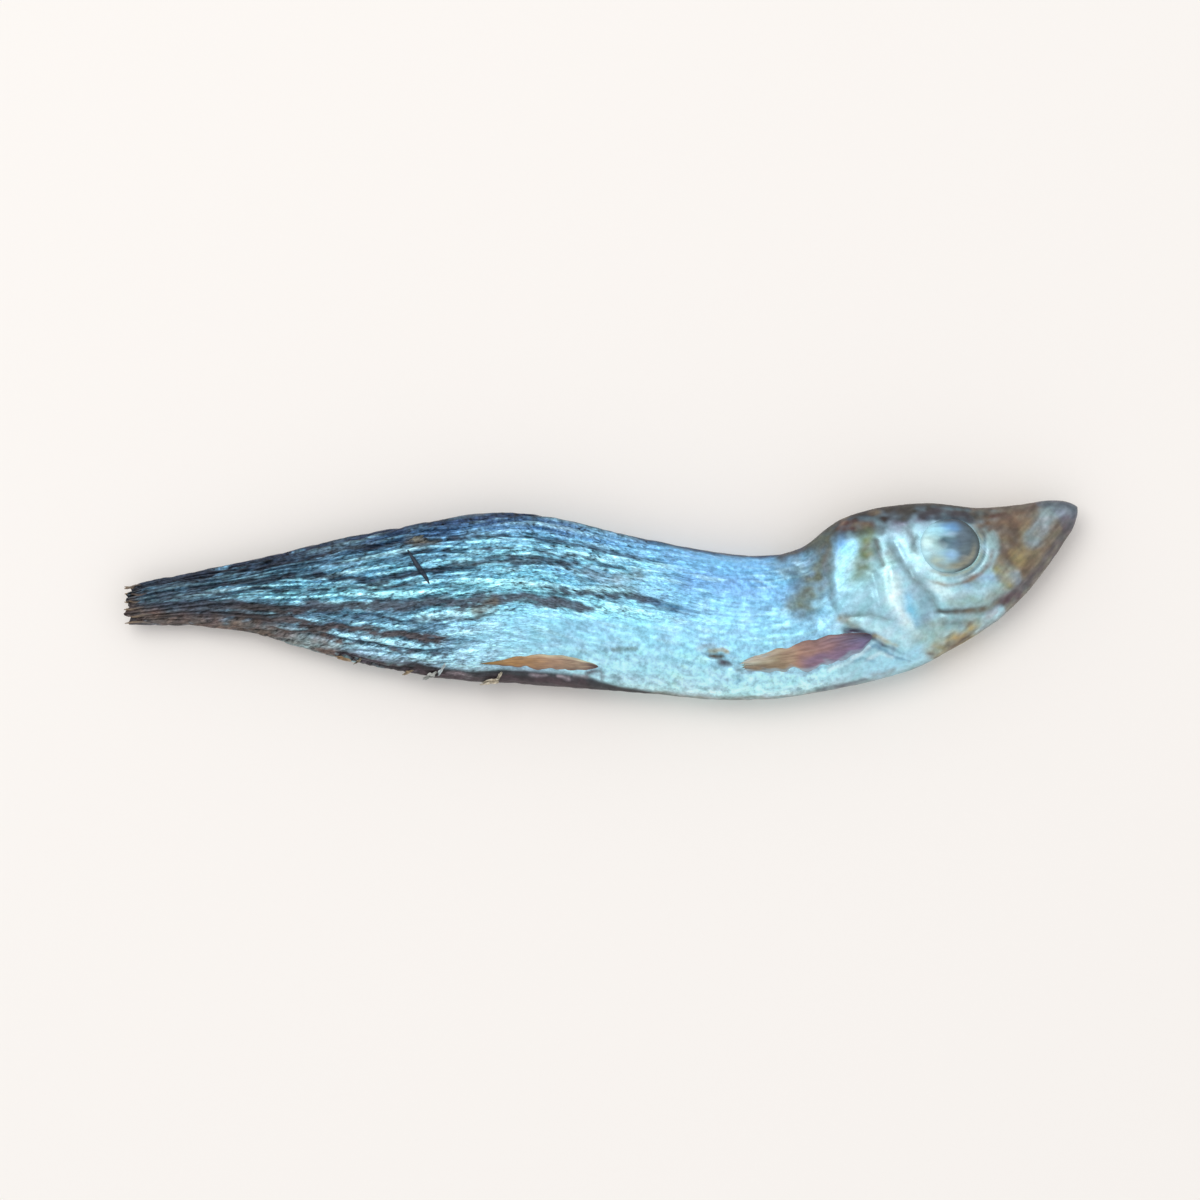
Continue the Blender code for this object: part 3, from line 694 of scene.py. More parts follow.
def body_paint(p, brown, hollow, fine_hollow, ridge_highlight):
    """(colour, dullness) of the body, with its dark back and keel, a painted shadow over the tail end and the
    tail's top, and painted glints on that shade.
    """
    # Masks of a painted shadow over the tail end and, reaching further forward, over the tail's upper part.
    tail = 1.0 - smooth_step(4.0, 22.0, p.x)
    tail_top_shade = (1.0 - smooth_step(16.0, 38.0, p.x)) * (1.0 - smooth_step(0.12, 0.40, p.share))
    tail_low = (1.0 - smooth_step(12.0, 23.0, p.x)) * smooth_step(0.52, 0.70, p.share)
    painted_glint = smooth_step(0.35, 0.70, skin_noise(86, p, 2.4, 0.34, 0.4))
    ridge = (1.0 - smooth_step(0.12, 0.34, p.edge)) * (p.share < 0.5)
    reach = p.x + 3.0 * noise(65, p.x / 5.0, p.z / 1.6)
    keel_top = np.interp(p.x, KEEL_PLACES, KEEL_TOP)
    keel = window(*KEEL_REACH, 6.0, reach) * smooth_step(0.0, 0.03, p.share - keel_top)
    paint = layers(
        creased_paint(flank_paint(p), p, brown, hollow, fine_hollow, ridge_highlight),
        # Painted shadow over the tail end and the tail's top.
        ((44, 52, 66), 0.60 * tail),
        ((30, 32, 42), 0.78 * tail_top_shade),
        ((56, 48, 46), 0.80 * tail_low),
        # Painted glints on the shaded tail.
        ((140, 190, 220), 0.55 * painted_glint * np.maximum(tail, tail_top_shade)),
        (NAVY, 0.85 * ridge),
        ((34, 27, 31), 0.95 * keel),
    )
    dull = keel + 0.3 * tail + 0.3 * ridge + 0.5 * smooth_step(0.955, 0.985, p.share)
    return paint, dull + 0.75 * smooth_step(0.3, 0.9, brown) + 0.35 * hollow


def head_ground(paint, p):
    """The head's pale ground, its dark top and the brown of the snout above the mouth."""
    flank = smooth_step(0.15, 0.5, p.edge)
    top = smooth_step(*HEAD_COLOUR_FADE, p.x) * (1.0 - flank)
    snout = smooth_step(90.0, 92.2, p.x - 0.12 * (p.y - 6.0) + 0.4 * plan_noise(87, p, 1.4, 1.0))
    above_mouth = smooth_step(-0.6, 0.4, p.y - np.interp(p.x, (88.0, 92.0, 93.6), (-0.7, 0.2, -3.0)))
    return layers(
        paint,
        ((180, 220, 230), 0.85 * smooth_step(73.0, 76.0, p.x) * flank),
        ((70, 66, 66), 0.90 * top * (p.share < 0.5)),
        ((140, 160, 164), 0.5 * top * (p.share >= 0.5)),
        ((120, 108, 94), 0.85 * snout * above_mouth),
    )


def stroked_paint(paint, dull, p):
    """(colour, dullness) with every stroke laid on, its path warped and its edge frayed."""
    broad = [plan_noise(73 + n, p, WARP_SIZE) for n in range(2)]
    small = [plan_noise(75 + n, p, FRAY_SIZE) for n in range(2)]
    stray = [SIDE_DRIFT * (1.0 - p.edge) ** 2 * plan_noise(63 + n, p, DRIFT_SIZE, 2.0) for n in range(2)]
    warp = STROKE_WARP * (1.0 + SIDE_WARP * (1.0 - p.edge))
    mottle = 0.90 + STROKE_MOTTLE * noise(77, p.x / 0.9, p.y / 0.8, p.z / 0.8)
    for points, width, soft, colour, strength in HEAD_STROKES + BODY_STROKES:
        wander = warp * min(1.0, THIN_WARP + width)
        x = p.x + wander * broad[0] + STROKE_FRAY * small[0] + stray[0]
        y = p.y + wander * broad[1] + STROKE_FRAY * small[1] + 0.4 * stray[1]
        fade = STROKE_SOFTNESS * soft
        mask = 1.0 - smooth_step(width - 0.6 * fade, width + 0.8 * fade, distance_to(points, x, y))
        mask = np.clip(strength * mask * mottle, 0.0, 1.0)
        paint = layer(paint, colour, mask)
        tone = ink(colour)
        warm = tone[0] > 0.8 * tone[2]
        dull = dull + (WARM_DULLNESS if warm else COOL_DULLNESS) * mask
    return paint, dull


def stained_paint(paint, p):
    """The head's warm patches stained dark and pale, and the fibres of the snout."""
    stain = noise(79, (p.x + p.y) / 2.0, (p.x - p.y) / 0.9, p.z / 1.0)
    warmth = smooth_step(-0.02, 0.06, paint[..., 0] - 0.85 * paint[..., 2])
    warmth *= smooth_step(*HEAD_COLOUR_FADE, p.x)
    fibre = noise(66, (p.x + p.y) / 1.8, (p.x - p.y) / 0.45, p.z / 0.6) * smooth_step(87.0, 92.0, p.x)
    paint = layers(
        paint,
        ((74, 58, 48), 0.46 * warmth * smooth_step(0.0, 0.7, stain)),
        ((156, 146, 120), 0.28 * warmth * smooth_step(0.0, 0.7, -stain)),
    )
    return paint * (1.0 + 0.26 * fibre)[..., None]


def ringed_paint(paint, p):
    """The broken rings of colour round the eye, each by its radius and width."""
    off, front, low_front = round_the_eye(p)
    off = off + 0.12 * side_noise(78, p, 1.1)
    broken = np.clip(0.85 + 0.7 * side_noise(89, p, 1.1), 0.0, 1.0)
    lower = smooth_step(0.0, 1.5, EYE_CENTRE[1] - p.y)
    return layers(
        paint,
        ((84, 108, 104), 0.80 * low_front * hill(off - 3.15, 0.22)),
        ((166, 170, 148), 0.80 * low_front * broken * hill(off - 3.42, 0.16)),
        ((82, 102, 104), 0.75 * front * broken * hill(off - 3.72, 0.17)),
        ((184, 216, 220), 0.50 * front * broken * hill(off - 4.10, 0.24)),
        ((142, 112, 88), 0.70 * low_front * lower * broken * hill(off - 4.50, 0.26)),
    )


def skin_paint(p, brown, hollow, fine_hollow, ridge_highlight):
    """(the skin's colour, how dull it is) at each place."""
    paint, dull = body_paint(p, brown, hollow, fine_hollow, ridge_highlight)
    paint, dull = stroked_paint(head_ground(paint, p), dull, p)
    paint = ringed_paint(stained_paint(paint, p), p)
    dull = dull + 0.4 * smooth_step(91.0, 95.0, p.x)
    return np.clip(paint, 0.0, 1.0), np.clip(dull, 0.0, 1.0)


# Where the millimetre shapes lie in the frame.
cad_corner_low, cad_corner_high = (np.array(corner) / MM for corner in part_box(NODE))
FORM = skin_places()
SHIFT = np.array(
    (
        (cad_corner_low[0] + cad_corner_high[0] - FORM.x.min() - FORM.x.max()) / 2,
        (cad_corner_low[1] + cad_corner_high[1] - FORM.y.min() - FORM.y.max()) / 2,
        cad_corner_low[2],
    )
)


def make_object(name, points, faces, material, attributes):
    """A piece from points in millimetres, riding on the fish, with an attribute for each named array."""
    data = bpy.data.meshes.new(name)
    placed = (np.asarray(points) + SHIFT) * MM
    data.from_pydata(placed.tolist(), [], faces)
    data.validate()
    for key, values in attributes.items():
        if values.ndim == 1:
            data.attributes.new(key, "FLOAT", "POINT").data.foreach_set("value", values)
        elif key == "flow":
            data.attributes.new(key, "FLOAT_VECTOR", "POINT").data.foreach_set("vector", values.ravel())
        else:
            full = np.concatenate((values, np.ones((len(values), 1))), axis=1)
            data.attributes.new(key, "FLOAT_COLOR", "POINT").data.foreach_set("color", full.ravel())
    data.materials.append(material)
    data.shade_smooth()
    piece = bpy.data.objects.new(name, data)
    bpy.context.scene.collection.objects.link(piece)
    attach(piece, BODY)
    return piece


def closed_tube_faces(rows, columns):
    """Faces of a tube of rings whose ends are closed by fans to two points that follow the rings' points."""
    row = np.arange(rows - 1)[:, None] * columns
    here = np.arange(columns)[None, :]
    there = (here + 1) % columns
    corners = (row + here, row + columns + here, row + columns + there, row + there)
    faces = np.stack([c.ravel() for c in np.broadcast_arrays(*corners)], axis=-1).tolist()
    last = (rows - 1) * columns
    for n in range(columns):
        m = (n + 1) % columns
        faces.append((rows * columns, n, m))
        faces.append((rows * columns + 1, last + m, last + n))
    return faces


TAIL_TEAR = 1.5  # how unevenly the tail's end is torn
TAIL_TEAR_REACH = 2.5
TAIL_HOLLOW = 0.5
FRONT_FADE = (48.0, 68.0)  # where the rear's streaks give way to the front's fine grain
LOWER_FRONT_SHIFT = 18.0  # how much further back that is on the lower half of the flank
HEAD_FADE = (72.0, 77.0)


def with_ends(values):
    """The values of the rings' points and of the two end points, as a flat list."""
    rows, columns = values.shape[:2]
    values = values.reshape(rows * columns, -1)
    whole = np.concatenate((values, values[:1], values[-1:]))
    return whole if whole.shape[1] > 1 else whole[:, 0]


def build_skin(material):
    """The whole skin as one closed piece, and a tree to find its height by."""
    p = FORM
    furrow, brown, hollow = furrows_at(p)
    pleat, fine_hollow, ridge_highlight = pleats_at(p)
    relief = furrow + pleat + head_relief_at(p) + lumps_at(p)
    relief = relief * np.where(p.side > 0, 1.0, LOWER_SIDE_RELIEF)
    points = np.stack((p.x, p.y, p.z), axis=-1) + p.normal * relief[..., None]
    torn = TAIL_TEAR * (0.5 + 0.7 * noise(81, p.y / 0.7, p.z / 0.9)).clip(0.0, 1.0)
    points[..., 0] += torn * (1.0 - smooth_step(0.0, TAIL_TEAR_REACH, p.x))
    points[..., 0] = np.minimum(points[..., 0], p.x.max())
    points[..., 2] = np.maximum(points[..., 2], 0.0)
    paint, dull = skin_paint(p, brown, hollow, fine_hollow, ridge_highlight)
    shift = LOWER_FRONT_SHIFT * smooth_step(0.48, 0.62, p.share)
    attributes = {
        "paint": with_ends(paint),
        "dull": with_ends(dull),
        "flow": with_ends(np.stack((p.x, p.share * p.depth, p.z), axis=-1)),
        "front": with_ends(smooth_step(*FRONT_FADE, p.x + shift)),
        "head": with_ends(smooth_step(*HEAD_FADE, p.x)),
    }
    faces = closed_tube_faces(*p.x.shape)
    ends = np.stack((points[0].mean(axis=0) + (TAIL_HOLLOW, 0.0, 0.0), points[-1].mean(axis=0)))
    flat = np.concatenate((points.reshape(-1, 3), ends))
    skin = make_object("skin", flat, faces, material, attributes)
    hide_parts(NODE)
    return BVHTree.FromPolygons([Vector(point) for point in flat], faces)


FAR_OFF = 50.0
LOWEST_DETAIL = 0.06


def heights_on(tree, plan, side):
    """The skin's height under each plan point; a point beside the fish takes its neighbour's."""
    last = MIDDLE_HEIGHT
    heights = []
    for x, y in plan:
        found = tree.ray_cast(Vector((x, y, side * FAR_OFF)), Vector((0.0, 0.0, -side)))[0]
        last = last if found is None else found.z
        heights.append(last)
    return np.array(heights)


def side_name(side):
    """The word in a piece's name for its side of the fish."""
    return "upper" if side > 0 else "lower"


def leaf_grid(rows, columns, start=0.0):
    """(places along a leaf from start to 1, places across it from -1 to 1)."""
    return np.meshgrid(np.linspace(start, 1.0, rows), np.linspace(-1.0, 1.0, columns), indexing="ij")


EYE_RINGS = 30
EYE_SEGMENTS = 72
EYE_SINK = 0.5

# A soft spot's place on the eyeball (across and up, from -1 to 1), width, height, colour and strength.
EYE_SPOTS = (
    (0.12, 0.08, 0.30, 0.22, (98, 126, 150), 0.75),
    (0.46, 0.36, 0.20, 0.26, (98, 118, 132), 0.60),
    (0.48, -0.16, 0.18, 0.24, (104, 124, 130), 0.60),
    # The blue spots near the top are a painted highlight; the pale ones on the left are milky tissue with a
    # painted reflection over it.
    (-0.06, 0.72, 0.34, 0.20, (112, 170, 222), 0.95),
    (0.12, 0.64, 0.15, 0.14, (84, 132, 178), 0.75),
    (-0.52, 0.54, 0.36, 0.17, (172, 234, 252), 1.00),
    (0.00, 0.44, 0.28, 0.06, (172, 206, 230), 0.70),
    (-0.78, 0.15, 0.26, 0.30, (204, 244, 240), 1.00),
    (-0.45, 0.10, 0.18, 0.30, (150, 204, 200), 0.70),
    (-0.20, 0.16, 0.28, 0.20, (24, 70, 82), 1.00),
    # Pale, on the left: milky tissue with a painted reflection over it.
    (-0.76, -0.26, 0.24, 0.20, (192, 238, 246), 0.85),
    (0.00, -0.33, 0.26, 0.18, (150, 196, 232), 0.95),
    (-0.44, -0.52, 0.26, 0.15, (184, 202, 182), 0.85),
    (-0.14, -0.93, 0.24, 0.08, (84, 116, 108), 0.70),
    (0.20, -0.68, 0.36, 0.14, (132, 134, 112), 0.80),
    (0.54, -0.48, 0.20, 0.12, (160, 160, 146), 0.60),
)


def eye_paint(u, v):
    """The dried, milky eyeball's colours, where u and v run from -1 to 1 over it, with a painted reflection
    over them: pale on the left and dark on the right.
    """
    off = np.hypot(u, v)
    u = u + 0.06 * noise(92, u * 3.0, v * 4.0)
    v = v + 0.05 * noise(93, u * 3.0, v * 4.0)
    # A painted reflection: the dome pale on its left and dark on its right.
    paint = layer(ink((150, 194, 204)), (72, 90, 98), smooth_step(-0.18, 0.38, u + 0.10 * v))
    for across, up, wide, high, colour, strength in EYE_SPOTS:
        paint = layer(paint, colour, strength * hill(u - across, wide) * hill(v - up, high))
    streak = noise(91, u * 2.5, v * 9.0)
    low_right = smooth_step(0.05, 0.65, 0.45 * u - 0.90 * v)
    right = smooth_step(-0.1, 0.7, u - 0.25 * v)
    left = smooth_step(0.1, -0.6, u) * smooth_step(0.8, 0.4, v)
    paint = layers(
        paint * (1.0 + 0.24 * streak)[..., None],
        ((48, 54, 62), 0.90 * smooth_step(0.68, 0.96, v + 0.15 * u)),
        ((156, 154, 130), 0.62 * low_right * hill(off - 0.80, 0.10) * (1.0 + 0.5 * streak)),
        ((58, 74, 72), 0.80 * right * smooth_step(0.87, 0.97, off)),
        # A pale left rim, part of the painted reflection.
        ((166, 208, 216), 0.7 * left * smooth_step(0.84, 0.98, off)),
    )
    return np.clip(paint, 0.0, 1.0)


def build_eye(tree, side, material):
    """A domed, glassy eyeball that fills its socket."""
    radii = np.linspace(1.0, 0.0, EYE_RINGS, endpoint=False)[::-1, None]
    turns = np.arange(EYE_SEGMENTS) * math.tau / EYE_SEGMENTS
    u = np.append(radii * np.cos(turns), 0.0)
    v = np.append(radii * np.sin(turns), 0.0)
    wavy = 1.0 + 0.025 * noise(88, 1.6 * u, 1.6 * v)
    plan = np.stack((EYE_CENTRE[0] + EYE_RADIUS * u * wavy, EYE_CENTRE[1] + EYE_HEIGHT * v * wavy), axis=-1)
    ground = heights_on(tree, plan, side)
    off = np.hypot(u, v).clip(0.0, 1.0)
    dome = EYE_DOME * (1.0 - off**2) - 0.02 * smooth_step(0.96, 1.0, off)
    top = ground + side * dome * (1.0 if side > 0 else LOWER_SIDE_RELIEF)
    top = np.maximum(top, LOWEST_DETAIL)
    sunk = ground.mean() - side * EYE_SINK
    points = np.concatenate((np.column_stack((plan, top)), [(*EYE_CENTRE, sunk)]))
    faces = closed_tube_faces(EYE_RINGS, EYE_SEGMENTS)
    if side < 0:
        faces = [face[::-1] for face in faces]
    paint = eye_paint(u, v)
    paint = np.concatenate((paint, paint[-1:]))
    return make_object(f"eye_{side_name(side)}", points, faces, material, {"paint": paint})


def pressed_sheet(name, tree, plan, lift, sink, side, material, paint):
    """A thin closed sheet over a grid of plan points, that follows the skin under it."""
    ground = heights_on(tree, plan.reshape(-1, 2), side).reshape(lift.shape)
    top = np.maximum(ground + side * lift, LOWEST_DETAIL)
    bottom = ground - side * sink
    points = [np.concatenate((plan, z[..., None]), axis=-1).reshape(-1, 3) for z in (top, bottom)]
    index = np.arange(lift.size).reshape(lift.shape)
    quads = np.stack((index[:-1, :-1], index[:-1, 1:], index[1:, 1:], index[1:, :-1]), axis=-1).reshape(-1, 4)
    rim = np.concatenate((index[0], index[1:, -1], index[-1, -2::-1], index[-2:0:-1, 0]))
    onward = np.roll(rim, -1)
    edges = np.stack((onward, rim, rim + lift.size, onward + lift.size), axis=-1)
    faces = np.concatenate((quads, quads[:, ::-1] + lift.size, edges)).tolist()
    paint = np.clip(paint, 0.0, 1.0).reshape(-1, 3)
    attributes = {"paint": np.concatenate((paint, paint))}
    piece = make_object(name, np.concatenate(points), faces, material, attributes)
    mesh = bmesh.new()
    mesh.from_mesh(piece.data)
    bmesh.ops.recalc_face_normals(mesh, faces=mesh.faces)
    mesh.to_mesh(piece.data)
    mesh.free()
    piece.data.shade_smooth()
    return piece


FIN_ROWS = 72
FIN_COLUMNS = 31
FIN_RAYS = 8
FIN_RAY_HEIGHT = 0.02
FIN_SINK = 0.30


# The fins' colours from root to tip.
PECTORAL_RAMP = (
    (0.0, (84, 78, 98)),
    (0.14, (110, 104, 136)),
    (0.36, (138, 106, 110)),
    (0.60, (160, 124, 106)),
    (0.74, (164, 148, 118)),
    (1.0, (160, 164, 148)),
)
PELVIC_RAMP = (
    (0.0, (66, 50, 52)),
    (0.10, (98, 76, 70)),
    (0.20, (156, 136, 114)),
    (0.42, (168, 136, 110)),
    (0.70, (166, 126, 80)),
    (1.0, (146, 112, 58)),
)


def pectoral_paint(t, off, edge, blotch):
    """The pectoral fin's mauve root, dark upper edge and frayed tip."""
    mauve = window(0.20, 0.52, 0.12, t) * smooth_step(-0.25, 0.45, -off - 0.2 * blotch)
    frayed = smooth_step(0.66, 0.82, t + 0.08 * blotch)
    rim = smooth_step(0.55, 0.98, edge) * smooth_step(0.2, -0.4, off - smooth_step(0.6, 0.9, t))
    return layers(
        ramp(PECTORAL_RAMP, t + 0.05 * blotch),
        ((132, 110, 140), 0.70 * mauve),
        ((56, 46, 62), 0.90 * smooth_step(0.0, 0.7, off) * smooth_step(0.34, 0.10, t)),
        ((112, 84, 76), 0.50 * smooth_step(0.70, 0.98, off) * smooth_step(0.9, 0.5, t)),
        ((124, 98, 74), 0.75 * frayed * smooth_step(0.1, -0.5, off)),
        ((196, 180, 162), 0.55 * frayed * smooth_step(0.0, 0.6, off + 0.2 * blotch)),
        ((158, 194, 206), 0.60 * rim),
    )


def pelvic_paint(t, off, edge, blotch):
    """The pelvic fin's painted highlight along its upper edge, and its brown lower edge."""
    # A pale painted highlight along the upper edge.
    edge_highlight = smooth_step(0.45, 0.95, off + 0.2 * blotch) * smooth_step(0.70, 0.45, t)
    return layers(
        ramp(PELVIC_RAMP, t + 0.05 * blotch),
        ((206, 204, 172), 0.60 * edge_highlight),
        ((112, 90, 84), 0.60 * smooth_step(0.55, 0.98, edge) * smooth_step(0.0, -0.5, off)),
    )


def fin_paint(name, t, off, rays):
    """A fin's colours, where t runs from root to tip and off from -1 at its lower edge to 1 at its upper."""
    fibre = 0.06 * rays + noise(94, t * 5.0, off * 3.0)
    blotch = noise(95, t * 9.0, off * 2.0)
    edge = np.abs(off) + 0.30 * noise(90, t * 11.0, off * 2.0)
    ground = pectoral_paint if name == "pectoral" else pelvic_paint
    paint = layers(
        ground(t, off, edge, blotch),
        ((96, 66, 60), 0.34 * smooth_step(0.15, 0.9, -fibre)),
        ((206, 184, 162), 0.30 * smooth_step(0.3, 0.95, fibre) * smooth_step(0.2, 0.7, t)),
    )
    return paint * (1.0 + 0.14 * blotch)[..., None]


def build_fin(tree, fin, side, material):
    """A thin rayed leaf, torn at its tip and pressed to the flank."""
    t, off = leaf_grid(FIN_ROWS, FIN_COLUMNS)
    root, along = np.array(fin.root), np.subtract(fin.tip, fin.root)
    ahead = along / np.hypot(*along)
    aside = np.array((ahead[1], -ahead[0]))
    half = fin.width / 2 * np.interp(t, np.linspace(0.0, 1.0, len(fin.profile)), fin.profile)
    uneven = np.where(off < 0.0, 0.34, 0.14)
    half = half * (1.0 + uneven * noise(96, t * 10.0, np.sign(off) * 3.0 + side))
    rays = np.cos(math.pi * FIN_RAYS * off + 0.8 * noise(97, t * 4.0, off * 1.5))
    tear = 0.9 * noise(98, off * 4.5, side) * smooth_step(0.7, 1.0, t)
    sideways = half * off + fin.bow * np.sin(math.pi * t)
    plan = root + along * t[..., None] + aside * sideways[..., None] + ahead * tear[..., None]
    lift = fin.thick * (1.0 - 0.45 * t) * (1.0 - 0.95 * off**2)
    lift += FIN_RAY_HEIGHT * rays * smooth_step(0.0, 0.25, t) * (1.0 - 0.6 * t)
    lift += 0.12 * smooth_step(0.75, 1.0, np.abs(off)) * noise(99, t * 7.0, off * 2.0)
    lift = lift * smooth_step(0.0, 0.14, t) - 0.12 * (1.0 - smooth_step(0.0, 0.10, t))
    lift = lift * (1.0 if side > 0 else LOWER_SIDE_RELIEF)
    name = f"{fin.name}_fin_{side_name(side)}"
    paint = fin_paint(fin.name, t, off, rays)
    return pressed_sheet(name, tree, plan, lift, FIN_SINK, side, material, paint)


TAIL_RAYS = 6
TAIL_RAY_ROWS = 14
TAIL_RAY_COLUMNS = 5
TAIL_RAY_WIDTH = 0.34
TAIL_RAY_SINK = 0.25
TAIL_TOP = 1.75
TAIL_SPREAD = 3.7
RAY_BROWN = (92, 76, 66)
RAY_PALE = (150, 128, 100)


def build_tail_rays(tree, side, material):
    """Frayed stumps of the broken tail fin's rays, on one side of the stub's end."""
    draw = np.random.default_rng(SEED + 101 + side)
    t, off = leaf_grid(TAIL_RAY_ROWS, TAIL_RAY_COLUMNS)
    for n in range(TAIL_RAYS):
        y_end = TAIL_TOP - TAIL_SPREAD * n / (TAIL_RAYS - 1)
        y_start = y_end * 1.05 + 0.1
        start = 1.8 + 1.6 * draw.random()
        end = 0.9 * draw.random()
        wave = 0.12 * np.sin(4.0 * t + 6.0 * draw.random())
        half = TAIL_RAY_WIDTH / 2 * (1.0 - 0.75 * t**3) * np.sqrt(t + 0.05)
        x = start + (end - start) * t
        y = y_start + (y_end - y_start) * t + wave + half * off
        plan = np.stack((x, y), axis=-1)
        lift = (0.05 + 0.16 * t) * (1.0 - 0.8 * off**2)
        tone = ink(RAY_BROWN) + (ink(RAY_PALE) - ink(RAY_BROWN)) * draw.random()
        paint = layer(tone, SLATE, 0.7 * (1.0 - t))
        name = f"tail_ray_{side_name(side)}_{n + 1}"
        pressed_sheet(name, tree, plan, lift, TAIL_RAY_SINK, side, material, paint)


# A flake's name, place, length and width, turn, curl and colour.
FLAKES = (
    ("flake_belly_1", (38.6, -8.1), (1.9, 0.55), 0.20, 0.30, (206, 196, 176)),
    ("flake_belly_2", (39.4, -7.6), (1.0, 0.36), 1.00, 0.30, (190, 182, 162)),
    ("flake_belly_3", (32.2, -7.5), (1.5, 0.45), 0.55, 0.30, (186, 188, 182)),
    ("flake_belly_4", (33.4, -6.9), (1.2, 0.32), 0.95, 0.25, (196, 206, 206)),
    ("flake_belly_5", (23.0, -5.7), (1.5, 0.36), -0.30, 0.22, (176, 150, 118)),
    ("flake_belly_6", (29.9, -7.1), (1.1, 0.32), 0.35, 0.22, (170, 152, 124)),
    ("flake_back_1", (30.9, 6.9), (1.3, 0.42), 0.30, 0.16, (126, 126, 114)),
    ("flake_belly_7", (24.6, -6.0), (0.8, 0.26), 0.70, 0.22, (150, 138, 118)),
)
FLAKE_ROWS = 16
FLAKE_COLUMNS = 9


def build_flake(tree, material, name, at, size, turn, curl, colour):
    """A loose curled scrap of skin."""
    seed = sum(ord(letter) for letter in name)
    t, off = leaf_grid(FLAKE_ROWS, FLAKE_COLUMNS, -1.0)
    ragged = 1.0 + 0.6 * noise(seed, t * 1.7, off * 1.6)
    u = size[0] / 2 * t * ragged
    v = size[1] / 2 * off * np.sqrt(1.05 - t**2) * ragged
    cos, sin = math.cos(turn), math.sin(turn)
    plan = np.stack((at[0] + u * cos - v * sin, at[1] + u * sin + v * cos), axis=-1)
    bend = 0.10 * noise(seed + 1, t * 2.0, off * 2.0)
    lift = 0.10 + curl * (0.8 * off**2 + 0.5 * smooth_step(-0.2, 1.0, t)) + bend
    paint = ink(colour) * (1.0 + 0.3 * noise(seed + 2, t * 2.5, off * 2.0))[..., None]
    return pressed_sheet(name, tree, plan, lift, 0.05 - lift, 1, material, paint)


SPLINTER = ((29.9, 5.7), (30.9, 4.1), (31.7, 3.0), (32.2, 2.1))
SPLINTER_ROWS = 24
SPLINTER_COLUMNS = 7
SPLINTER_WIDTH = 0.62
SPLINTER_HEIGHT = 0.34
SPLINTER_COLOUR = (40, 52, 66)


def build_splinter(tree, material):
    """A thin dark splinter that lies across the flank's ridges."""
    line = np.array(SPLINTER)
    t, off = leaf_grid(SPLINTER_ROWS, SPLINTER_COLUMNS)
    spine = curve_through(np.linspace(0.0, 1.0, len(line)), line, t[:, 0])
    ahead = np.gradient(spine, axis=0)
    ahead /= np.linalg.norm(ahead, axis=1)[:, None]
    aside = np.stack((-ahead[:, 1], ahead[:, 0]), axis=-1)
    taper = (1.0 - 0.30 * t) * np.sin(math.pi * (0.04 + 0.92 * t)) ** 0.8
    plan = spine[:, None, :] + aside[:, None, :] * (SPLINTER_WIDTH / 2 * off * taper)[..., None]
    lift = SPLINTER_HEIGHT * taper * np.sqrt(1.02 - off**2) + 0.05
    paint = ink(SPLINTER_COLOUR) * (1.0 + 0.3 * noise(111, t * 8.0, off))[..., None]
    return pressed_sheet("splinter", tree, plan, lift, 0.1, 1, material, paint)


def add_node(tree, kind, values=None, **settings):
    """A shader node with its settings and its unlinked input values."""
    made = tree.nodes.new(kind)
    for key, value in settings.items():
        setattr(made, key, value)
    for key, value in (values or {}).items():
        made.inputs[key].default_value = value
    return made


class Value:
    """A shader value that makes math nodes as it is added to, multiplied or moved to another range."""

    def __init__(self, tree, socket):
        self.tree = tree
        self.socket = socket

    def joined(self, operation, other):
        """The outcome of a math node with another value or a number."""
        node = add_node(self.tree, "ShaderNodeMath", operation=operation)
        self.tree.links.new(self.socket, node.inputs[0])
        if isinstance(other, Value):
            self.tree.links.new(other.socket, node.inputs[1])
        else:
            node.inputs[1].default_value = other
        return Value(self.tree, node.outputs[0])

    def __add__(self, other):
        return self.joined("ADD", other)

    def __mul__(self, other):
        return self.joined("MULTIPLY", other)

    def away_from(self, middle):
        """How far the value is from a number."""
        node = add_node(self.tree, "ShaderNodeMath", operation="ABSOLUTE")
        self.tree.links.new(self.joined("SUBTRACT", middle).socket, node.inputs[0])
        return Value(self.tree, node.outputs[0])

    def ranged(self, low, high, to_low, to_high):
        """The value moved from one range to another, without going beyond it."""
        node = add_node(self.tree, "ShaderNodeMapRange", {1: low, 2: high, 3: to_low, 4: to_high})
        self.tree.links.new(self.socket, node.inputs[0])
        return Value(self.tree, node.outputs[0])

    def to(self, socket):
        """The value led to a socket."""
        self.tree.links.new(self.socket, socket)


def attribute(tree, name, output):
    """An output of the mesh's own attribute."""
    return add_node(tree, "ShaderNodeAttribute", attribute_name=name).outputs[output]


def place_on(tree):
    """The place on the piece, in metres."""
    return add_node(tree, "ShaderNodeTexCoord").outputs["Object"]


def stretched_noise(tree, source, stretch, detail):
    """The value of a noise over the source vector, stretched by a factor on each axis."""
    scaled = add_node(tree, "ShaderNodeVectorMath", {1: stretch}, operation="MULTIPLY")
    tree.links.new(source, scaled.inputs[0])
    made = add_node(tree, "ShaderNodeTexNoise", {"Scale": 1.0, "Detail": detail, "Roughness": 0.55})
    tree.links.new(scaled.outputs[0], made.inputs["Vector"])
    return Value(tree, made.outputs[0])


def multiplied_colour(tree, colour, value):
    """A colour made lighter or darker by a value."""
    made = add_node(tree, "ShaderNodeVectorMath", operation="SCALE")
    tree.links.new(colour, made.inputs[0])
    value.to(made.inputs["Scale"])
    return made.outputs[0]


